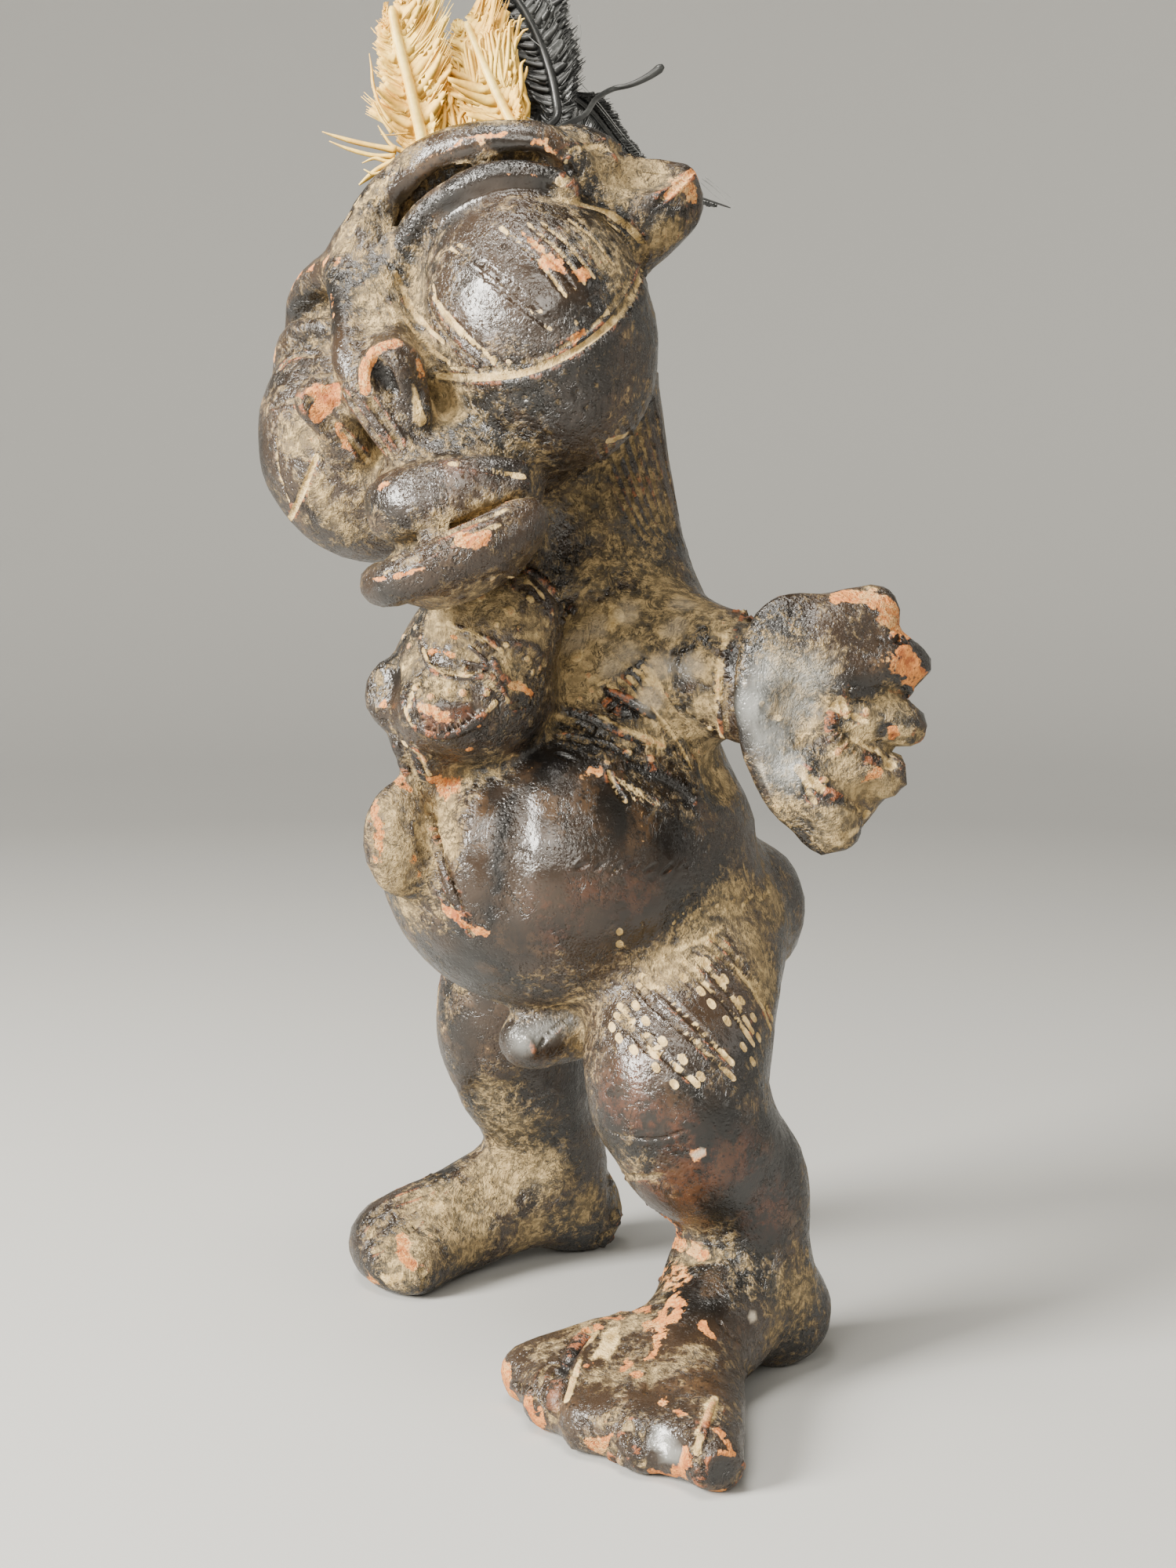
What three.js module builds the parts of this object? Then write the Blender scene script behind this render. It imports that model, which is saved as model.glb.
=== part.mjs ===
// Standing figure of fired clay with a large, tilted head, bulging eyes and feathers set in a hollow of the crown.
// Millimetres, +Z up. The figure looks along -Y, its left is +X, and its feet stand on z = 0.
import * as THREE from 'three';

// ---------------------------------------------------------------- driving dimensions
const FLOOR = 0;                       // soles
const SHIFT = [-8.54, 19.43, 0];         // puts the middle of the footprint box on the origin
const CELL = 3.0;                      // sampling step of the clay form
const SKIN = 0.45;                     // even allowance over the modelled form
const CLAY_FACES = 7600;               // facets kept on the clay body
const REGION = { lo: [-104, -112, -6], hi: [118, 74, 348] };
const HEAD = { at: [-4.7, -47.5, 264], turn: 15.5, tilt: 25 };   // head: turned to its left, leaning to its right
const ROW = { at: [0, 0, 0], turn: 0, tilt: 0 };
const CROWN_HOLLOW = { at: [26, -12, 50], r: [19, 12, 22] };     // open socket for the feathers, in head axes
const VANE = 0.45;                     // half thickness of a feather's vane
const VANE_TURN = 47;                  // the vanes' flat sides, degrees about z
const CLAY = { color: 0x3a2a1c, roughness: 0.42, metalness: 0.0 };
const CREAM = { color: 0xd9bd84, roughness: 0.8, metalness: 0.0 };
const BLACK = { color: 0x17181a, roughness: 0.55, metalness: 0.0 };

// ---------------------------------------------------------------- small maths
const rad = (d) => d * Math.PI / 180;
// axes of a frame: its left, its front, its up (rows of three)
function axes(f) {
  const c = Math.cos(rad(f.turn)), s = Math.sin(rad(f.turn)), a = Math.cos(rad(f.tilt)), b = Math.sin(rad(f.tilt));
  return f === ROW ? [[1, 0, 0], [0, 1, 0], [0, 0, 1]] : [[a * c, a * s, b], [s, -c, 0], [-b * c, -b * s, a]];
}
// column matrix of turns about x, then y, then z
function turns([x, y, z]) {
  const m = new THREE.Matrix4().makeRotationFromEuler(new THREE.Euler(rad(x), rad(y), rad(z), 'ZYX')).elements;
  return [[m[0], m[1], m[2]], [m[4], m[5], m[6]], [m[8], m[9], m[10]]];
}
const place = (f, p) => { const A = axes(f); return [0, 1, 2].map((i) => f.at[i] + A[0][i] * p[0] + A[1][i] * p[1] + A[2][i] * p[2]); };
// even curve through control rows, all columns alike
function curve(rows, n) {
  if (rows.length < 3) return rows;
  const end = (a, b) => a.map((v, i) => 2 * v - b[i]);
  const q = [end(rows[0], rows[1]), ...rows, end(rows[rows.length - 1], rows[rows.length - 2])];
  const out = [];
  for (let i = 1; i < q.length - 2; i++) for (let k = 0; k < n; k++) {
    const t = k / n;
    out.push(q[i].map((b, j) => {
      const a = q[i - 1][j], c = q[i + 1][j], d = q[i + 2][j];
      return 0.5 * (2 * b + (c - a) * t + (2 * a - 5 * b + 4 * c - d) * t * t + (3 * b - a - 3 * c + d) * t * t * t);
    }));
  }
  out.push(rows[rows.length - 1]);
  return out;
}
// soft union of two distances over a width k
const soft = (a, b, k) => { const h = Math.max(k - Math.abs(a - b), 0) / (k || 1); return Math.min(a, b) - h * h * k * 0.25; };

// ---------------------------------------------------------------- masses of clay
// orb: an ellipsoid; rod: a swelling limb through [x, y, z, radius] rows; block: a box with softened edges
const orb = (name, at, r, turn, k, o = {}) => ({ kind: 'orb', name, at, r, turn, k, ...o });
const block = (name, at, half, turn, edge, k, o = {}) => ({ kind: 'block', name, at, half, turn, edge, k, ...o });
const rod = (name, rows, k, o = {}) => ({ kind: 'rod', name, rows, k, ...o });
const group = (name, k, frame, parts) => ({ name, k, frame, parts: parts.map((p) => ready(p, frame)) });

function ready(p, frame) {
  if (p.kind === 'rod') {
    p.line = curve(p.rows.map((r) => [...place(frame, r), r[3]]), 4);
    p.lo = [0, 1, 2].map((i) => Math.min(...p.line.map((q) => q[i] - q[3])));
    p.hi = [0, 1, 2].map((i) => Math.max(...p.line.map((q) => q[i] + q[3])));
  } else {
    const A = axes(frame), T = turns(p.turn), R = p.kind === 'orb' ? Math.max(...p.r) : Math.hypot(...p.half);
    p.c = place(frame, p.at);
    p.m = T.map((t) => [0, 1, 2].map((i) => A[0][i] * t[0] + A[1][i] * t[1] + A[2][i] * t[2]));
    p.lo = p.c.map((v) => v - R); p.hi = p.c.map((v) => v + R);
  }
  return p;
}
function reach(p, x, y, z) {
  if (p.kind === 'rod') {
    let best = 1e9;
    for (let i = 0; i + 1 < p.line.length; i++) {
      const a = p.line[i], b = p.line[i + 1];
      const dx = b[0] - a[0], dy = b[1] - a[1], dz = b[2] - a[2], ex = x - a[0], ey = y - a[1], ez = z - a[2];
      const t = Math.min(1, Math.max(0, (ex * dx + ey * dy + ez * dz) / (dx * dx + dy * dy + dz * dz + 1e-9)));
      const d = Math.hypot(ex - t * dx, ey - t * dy, ez - t * dz) - (a[3] + (b[3] - a[3]) * t);
      if (d < best) best = d;
    }
    return best;
  }
  const dx = x - p.c[0], dy = y - p.c[1], dz = z - p.c[2];
  const u = p.m.map((a) => a[0] * dx + a[1] * dy + a[2] * dz);
  if (p.kind === 'orb') {
    const k0 = Math.hypot(u[0] / p.r[0], u[1] / p.r[1], u[2] / p.r[2]);
    const k1 = Math.hypot(u[0] / p.r[0] ** 2, u[1] / p.r[1] ** 2, u[2] / p.r[2] ** 2);
    return k0 * (k0 - 1) / Math.max(k1, 1e-6);
  }
  const q = u.map((v, i) => Math.abs(v) - (p.half[i] - p.edge));
  return Math.hypot(Math.max(q[0], 0), Math.max(q[1], 0), Math.max(q[2], 0)) + Math.min(Math.max(q[0], q[1], q[2]), 0) - p.edge;
}
const near = (p, m, x, y, z) => x > p.lo[0] - m && x < p.hi[0] + m && y > p.lo[1] - m && y < p.hi[1] + m && z > p.lo[2] - m && z < p.hi[2] + m;
const BAND = 9;
function level(x, y, z) {
  let d = 60;
  for (const g of BODY) {
    if (!near(g, g.k + BAND, x, y, z)) continue;
    let e = 60;
    for (const p of g.parts) {
      if (!near(p, (p.cut ? p.k : g.kmax) + BAND, x, y, z)) continue;
      const v = reach(p, x, y, z);
      e = p.cut ? -soft(-e, v, p.k) : soft(e, v, p.k);
    }
    d = soft(d, e, g.k);
  }
  d -= SKIN;
  d = -soft(-d, reach(HOLLOW, x, y, z) , 1.5);
  return Math.max(d, FLOOR - z);
}

// ---------------------------------------------------------------- the figure
const BODY = [
group('torso', 0, ROW, [
  orb('belly', [0, -17, 139], [49, 49, 43], [0, 0, 0], 0),
  orb('waist_back', [2, 4, 142], [42, 32, 34], [0, 0, 0], 16),
  orb('chest', [2, -3, 184], [35, 25, 30], [0, 0, 0], 18),
  orb('shoulder_yoke', [2, 4, 198], [36, 19, 16], [0, 0, 0], 12),
  orb('pelvis', [0, 12, 114], [40, 29, 24], [0, 0, 0], 12),
  orb('buttock_l', [22, 31, 121], [20, 22, 22], [0, 0, 0], 8),
  orb('buttock_r', [-23, 31, 121], [20, 22, 22], [0, 0, 0], 8),
]),
group('neck', 12, ROW, [
  rod('neck', [[1, 6, 202, 25], [0, 4, 225, 20.5], [-1, 0, 250, 19.5], [-2, -8, 282, 22]], 0),
]),
group('head', 7, HEAD, [
  orb('skull', [0, -20, 13], [46, 36, 42], [0, 0, 0], 0),
  orb('crown', [10, -10, 27], [34, 28, 28], [0, 0, 0], 10),
  orb('brow_mass_l', [28, 0, 25], [30, 24, 26], [0, 0, 0], 8),
  orb('brow_mass_r', [-24, -2, 18], [28, 24, 25], [0, 0, 0], 8),
  orb('bulb_l', [34.5, 8, 0.5], [29, 29, 37], [0, 0, 0], 4),
  orb('bulb_r', [-28, 10, -1.5], [26.5, 27, 32], [0, 0, 0], 4),
  orb('muzzle', [2, 20, -30], [21, 22, 20], [0, 0, 0], 7),
  block('nose_wedge', [-0.5, 24.5, 10.2], [11.5, 11.5, 16.8], [15.4, -17, 42.3], 2.5, 5),
  orb('nose_root', [2, 18, 37], [12, 12, 12], [0, 0, 0], 7),
  orb('nose_tip', [0, 37, -1], [12, 8, 7], [0, 0, 0], 4),
  orb('nostril_l', [8.6, 40, -0.6], [7.5, 8, 8], [0, 0, 0], 2.5),
  orb('nostril_r', [-13.3, 40, 2.3], [7.5, 8, 7.5], [0, 0, 0], 2.5),
  rod('wing_l', [[8.3, 38, -5.7, 5.2], [6.6, 34, -11.8, 5.4]], 2.5),
  rod('wing_r', [[-14.2, 38, -2.2, 5.5], [-15.5, 33, -8.5, 5.5]], 2.5),
  rod('septum', [[0, 43, -2, 4.5], [1, 40, -12, 5], [3, 36, -20, 5]], 4),
  rod('upper_lip', [[-12, 32, -27, 4], [-8, 38, -28.5, 6], [-1, 42, -30.5, 7.5], [9, 40, -32.5, 7.5], [19, 35.5, -34, 5.5], [27, 31, -36, 2.5]], 3),
  rod('lower_lip', [[-13, 36, -46, 4.5], [-13, 45, -48, 5.5], [-8, 50.5, -50.5, 6], [1, 51, -52, 6.5], [10, 47, -52, 6.5], [18, 41, -51.5, 6.5], [24, 33, -48, 6]], 4),
  rod('lip_floor', [[-6, 32, -48, 10], [6, 38, -50, 11], [16, 32, -48, 10]], 5),
  rod('mouth_slot', [[-14, 40, -36, 1.5], [-8, 46, -37, 2.8], [2, 50, -39, 3.6], [12, 46, -40, 3.8], [21, 39, -39.5, 3], [29, 31, -38.5, 1.2]], 1.5, { cut: true }),
  rod('upper_lip_face', [[-12, 34, -31, 4], [-8, 40, -33.5, 5.2], [0, 43.5, -35.5, 6], [9, 41.5, -37, 6], [18, 36.5, -38.5, 4.8], [26, 31.5, -39.5, 2.6]], 2.5),
  rod('brow_bed_l', [[8.2, 14, 43.1, 9], [15.8, 9, 49.9, 10], [27.5, 6, 50.5, 10], [39.9, 3, 47.2, 9], [48.9, -3, 41.8, 8]], 5),
  rod('brow_l', [[4.4, 25, 40.5, 5], [14.3, 20, 47.8, 6], [28.4, 17, 50.3, 6.5], [41.5, 14, 47.4, 6.5], [52.4, 9, 42.3, 6], [57.6, 3, 35.9, 5], [59.9, -3, 27.6, 3.5]], 3),
  rod('brow_groove_l', [[10.9, 20.3, 34.5, 2.4], [13.7, 18.6, 39.6, 3.2], [19.9, 16.3, 44.5, 3.6], [30.1, 15.4, 45.5, 3.8], [40.7, 13.4, 44.3, 3.6], [49.5, 11, 39.5, 3], [54.8, 9.7, 32.1, 2]], 2, { cut: true }),
  rod('lid_l', [[9.3, 22.9, 27.9, 2.8], [15.6, 23.4, 33.2, 3.4], [25, 23.6, 36.5, 3.8], [37.3, 22.8, 36.7, 4], [47.9, 19.1, 34.5, 4], [55.4, 13.8, 30.1, 3.4], [58.9, 10.1, 25.6, 2.4]], 2.5),
  rod('brow_r', [[-6, 24, 37, 4.5], [-13, 20, 40, 5], [-21, 16, 40.5, 5], [-30, 10, 39, 5], [-40, 0, 33, 4]], 4),
  rod('lid_r', [[-11, 26, 21, 3], [-16, 25, 26, 3.6], [-26, 22, 29, 4], [-37, 15, 28, 3.6], [-45, 6, 22, 2.6]], 2.5),
  rod('brow_groove_r', [[-11, 26, 29, 2.2], [-19, 22, 33.5, 2.8], [-29, 17, 34, 2.8], [-39, 9, 31, 2]], 2, { cut: true }),
  rod('ear_l', [[44, -15, 21, 15], [58, -16, 21.5, 13.6], [65, -17, 21.5, 11.6]], 5),
  rod('ear_r', [[-46, -16, 22, 16], [-62, -17, 21, 13.5]], 5),
  rod('brow_to_ear', [[54.5, -6.7, 40.8, 8], [59.7, -11.2, 34.9, 7.6], [63.9, -15.1, 29, 7.4], [70.2, -17.3, 24.6, 7.4], [69.8, -19.4, 21.6, 7.2]], 4),
]),
group('arm_l', 7, ROW, [
  rod('arm_l', [[20, 2, 193, 19], [38, 3, 191, 18.5], [54, 4, 187, 16], [66, 5, 183, 14]], 0),
]),
group('hand_l', 3, ROW, [
  orb('palm', [80.4, -1.8, 180.3], [20.5, 7.5, 33], [0, -14, 61], 0),
  rod('thumb', [[80, -2.2, 197.8, 9], [84.7, 5.8, 205.1, 8.5], [88.4, 11.2, 207.3, 7.5]], 5),
  rod('finger_2', [[84.8, 3, 191.5, 9], [90.3, 11.7, 195.4, 8.5], [93.5, 18.1, 193.7, 7]], 3.5),
  rod('finger_3', [[83.5, 1.6, 180.9, 6.5], [90.4, 10.4, 180.5, 6.8], [95.2, 17, 178.8, 5.8]], 2.5),
  rod('finger_4', [[82.9, -0.6, 174, 6.5], [87.7, 6.1, 168.9, 7], [91.9, 12, 165.8, 6]], 2.5),
  rod('finger_5', [[80.2, -4.9, 167.1, 7], [83.9, -0.9, 157.7, 7.5], [85.8, 2.5, 153, 6.5]], 2.5),
]),
group('fist', 4, ROW, [
  rod('arm_r', [[-22, 0, 192, 18], [-14, -22, 192, 16], [0, -38, 190, 17]], 0),
  orb('fist_mid', [6, -52.2, 188.8], [23, 21, 23], [0, 0, 0], 8),
  orb('fist_dome', [11.2, -49.5, 203.3], [19, 19, 15], [0, 0, 0], 6),
  orb('fist_low', [9.3, -60.4, 182.1], [16, 17, 13], [0, 0, 0], 4),
  orb('fist_knob', [-6.8, -68.8, 185.8], [6, 8, 9.5], [0, 0, 0], 3),
  rod('fist_finger_1', [[-3.5, -68.3, 181.9, 5], [-2.2, -66.8, 173.6, 5], [-3.8, -62.7, 166.5, 4.5]], 2.5),
  rod('fist_finger_2', [[3.5, -66.6, 175, 5], [3.3, -63.9, 169.7, 5], [1.5, -59.9, 165.2, 4.5]], 2.5),
]),
group('leg_l', 7, ROW, [
  rod('thigh_l', [[26, 8, 116, 28], [37, -5, 99, 26], [45, -14, 82, 24.5], [49, -12, 68, 21.5]], 0),
  rod('shin_l', [[49, -6, 64, 20], [50, 4, 52, 19.5], [51, 6, 38, 17.5], [51, 6, 26, 18]], 5),
]),
group('leg_r', 7, ROW, [
  rod('thigh_r', [[-24, 10, 116, 27], [-36, 2, 98, 23], [-42, -1, 82, 20], [-45, 8, 66, 19]], 0),
  rod('shin_r', [[-46, 12, 62, 19], [-50, 22, 48, 18.5], [-54, 30, 34, 17], [-58, 38, 20, 15.5]], 6),
]),
group('foot_l', 6, ROW, [
  rod('foot_l_heel', [[51.5, 17, 15, 16.5], [50, 4, 22, 18], [53, -14, 15, 15]], 0),
  rod('foot_l_toe_1', [[46.1, -26, 12, 10.8], [37.8, -40.4, 10.5, 9.8], [30, -54, 8.5, 8]], 4),
  rod('foot_l_toe_2', [[50.9, -27.8, 12, 10.8], [48.4, -44.4, 9.5, 9.8], [46, -60, 7.5, 8]], 4),
  rod('foot_l_toe_3', [[56, -28.7, 12, 10.8], [59.6, -46.3, 9.2, 9.8], [63, -63, 7.2, 8]], 4),
  rod('foot_l_toe_4', [[61.4, -28.1, 12, 10.8], [71.5, -45, 9.5, 9.8], [81, -61, 7.5, 8]], 4),
  rod('foot_l_toe_5', [[66.8, -26.9, 12, 10.8], [83.4, -42.4, 10, 9.8], [99, -57, 8, 8]], 4),
  rod('foot_l_web_0', [[44, -34, 11.4, 10], [39, -55, 8.4, 7.8]], 3.5),
  rod('foot_l_web_1', [[53, -38, 11, 10], [54.5, -60, 8.2, 8]], 3.5),
  rod('foot_l_web_2', [[63, -38, 11, 10], [71.5, -60.5, 8.2, 8]], 3.5),
  rod('foot_l_web_3', [[73, -36, 11, 10], [89.5, -57.5, 8.2, 8]], 3.5),
  rod('foot_l_instep', [[50, 2, 24, 15], [57, -14, 17, 14], [62, -30, 12, 11.5]], 8),
]),
group('foot_r', 6, ROW, [
  rod('foot_r_heel', [[-58, 46, 12.4, 13.5], [-61, 26, 19, 15], [-66, 4, 13.6, 13.5]], 0),
  rod('foot_r_toe_1', [[-63.3, -4.1, 10.9, 9.7], [-60.1, -13.8, 10.3, 9.8], [-57, -23, 8.3, 8]], 4),
  rod('foot_r_toe_2', [[-65.4, -4.7, 10.9, 9.7], [-64.7, -15.1, 10.4, 9.8], [-64, -25, 8.4, 8]], 4),
  rod('foot_r_toe_3', [[-67.5, -4.4, 10.9, 9.7], [-69.3, -14.5, 11, 9.8], [-71, -24, 9, 8]], 4),
  rod('foot_r_toe_4', [[-69.3, -3.5, 10.9, 9.7], [-73.3, -12.5, 11.8, 9.8], [-77, -21, 9.8, 8]], 4),
  rod('foot_r_toe_5', [[-70.8, -2.3, 10.9, 9.7], [-76.6, -9.9, 12.4, 9.8], [-82, -17, 10.4, 8]], 4),
  rod('foot_r_instep', [[-57, 20, 28.5, 14.5], [-64, 3, 21.5, 13.5], [-71, -9, 17, 12], [-76, -18, 14, 10.5]], 7),
]),
group('sex', 3, ROW, [
  rod('member', [[8.5, -17.3, 94.1, 11], [7.8, -26.9, 92.8, 10.5], [7.2, -33.3, 90.8, 8.5]], 0),
]),
group('navel', 5, ROW, [
  orb('navel', [-3.7, -68.5, 147.8], [9, 11, 15.5], [0, 0, 0], 0),
]),
];
for (const g of BODY) {
  g.kmax = Math.max(...g.parts.filter((p) => !p.cut).map((p) => p.k));
  g.lo = [0, 1, 2].map((i) => Math.min(...g.parts.filter((p) => !p.cut).map((p) => p.lo[i])));
  g.hi = [0, 1, 2].map((i) => Math.max(...g.parts.filter((p) => !p.cut).map((p) => p.hi[i])));
}
const HOLLOW = ready(orb('crown_hollow', CROWN_HOLLOW.at, CROWN_HOLLOW.r, [0, 0, 0], 1.5), HEAD);

// Closed skin of the form: every cell is parted into six tetrahedra, so the skin is always one sealed surface.
function skin() {
  const n = [0, 1, 2].map((i) => Math.ceil((REGION.hi[i] - REGION.lo[i]) / CELL) + 1);
  const o = [REGION.lo[0] + 0.137, REGION.lo[1] + 0.211, REGION.lo[2] + 0.071];
  const at = (i, j, k) => (i * n[1] + j) * n[2] + k;
  const val = new Float64Array(n[0] * n[1] * n[2]);
  for (let i = 0; i < n[0]; i++) for (let j = 0; j < n[1]; j++) for (let k = 0; k < n[2]; k++) {
    const v = level(o[0] + i * CELL, o[1] + j * CELL, o[2] + k * CELL);
    val[at(i, j, k)] = v === 0 ? 1e-6 : v;
  }
  const step = [[0, 0, 0], [1, 0, 0], [0, 1, 0], [0, 0, 1], [1, 1, 0], [1, 0, 1], [0, 1, 1], [1, 1, 1]];
  const orders = [[0, 1, 2], [0, 2, 1], [1, 0, 2], [1, 2, 0], [2, 0, 1], [2, 1, 0]];
  const pos = [], tri = [], seen = new Map();
  const N = val.length;
  const cross = (a, b) => {
    if (a > b) { const t = a; a = b; b = t; }
    const key = a * N + b;
    let id = seen.get(key);
    if (id === undefined) {
      const t = Math.min(0.97, Math.max(0.03, val[a] / (val[a] - val[b])));
      const P = [Math.floor(a / (n[1] * n[2])), Math.floor(a / n[2]) % n[1], a % n[2]];
      const Q = [Math.floor(b / (n[1] * n[2])), Math.floor(b / n[2]) % n[1], b % n[2]];
      const p = [0, 1, 2].map((c) => o[c] + CELL * (P[c] + (Q[c] - P[c]) * t));
      id = pos.length / 3; pos.push(...p); seen.set(key, id);
    }
    return id;
  };
  for (let i = 0; i + 1 < n[0]; i++) for (let j = 0; j + 1 < n[1]; j++) for (let k = 0; k + 1 < n[2]; k++) {
    let inside = 0;
    for (const s of step) if (val[at(i + s[0], j + s[1], k + s[2])] < 0) inside++;
    if (inside === 0 || inside === 8) continue;
    for (const ord of orders) {
      const c = [i, j, k], t = [at(...c)];
      for (const ax of ord) { c[ax]++; t.push(at(...c)); }
      const odd = (ord[0] + 1) % 3 !== ord[1];            // handedness of this tetrahedron
      const inn = [], out = [];
      for (const q of t) (val[q] < 0 ? inn : out).push(q);
      if (!inn.length || !out.length) continue;
      const face = (a, b, c2) => { tri.push([a, b, c2]); };
      const before = tri.length;
      if (inn.length === 1) face(cross(inn[0], out[0]), cross(inn[0], out[1]), cross(inn[0], out[2]));
      else if (out.length === 1) face(cross(inn[0], out[0]), cross(inn[1], out[0]), cross(inn[2], out[0]));
      else {
        const a = cross(inn[0], out[0]), b = cross(inn[0], out[1]), c3 = cross(inn[1], out[1]), d = cross(inn[1], out[0]);
        face(a, b, c3); face(a, c3, d);
      }
      // turn each face so that it looks from the clay outwards
      const mid = (list) => {
        const s = [0, 0, 0];
        for (const q of list) { s[0] += Math.floor(q / (n[1] * n[2])); s[1] += Math.floor(q / n[2]) % n[1]; s[2] += q % n[2]; }
        return s.map((v) => v / list.length);
      };
      const I = mid(inn), O = mid(out), w = [O[0] - I[0], O[1] - I[1], O[2] - I[2]];
      for (let f = before; f < tri.length; f++) {
        const [a, b, c4] = tri[f];
        const e = [0, 1, 2].map((x) => pos[3 * b + x] - pos[3 * a + x]), g = [0, 1, 2].map((x) => pos[3 * c4 + x] - pos[3 * a + x]);
        const nn = [e[1] * g[2] - e[2] * g[1], e[2] * g[0] - e[0] * g[2], e[0] * g[1] - e[1] * g[0]];
        if (nn[0] * w[0] + nn[1] * w[1] + nn[2] * w[2] < 0) tri[f] = [a, c4, b];
      }
    }
  }
  return { pos: Float64Array.from(pos), tri };
}

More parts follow.
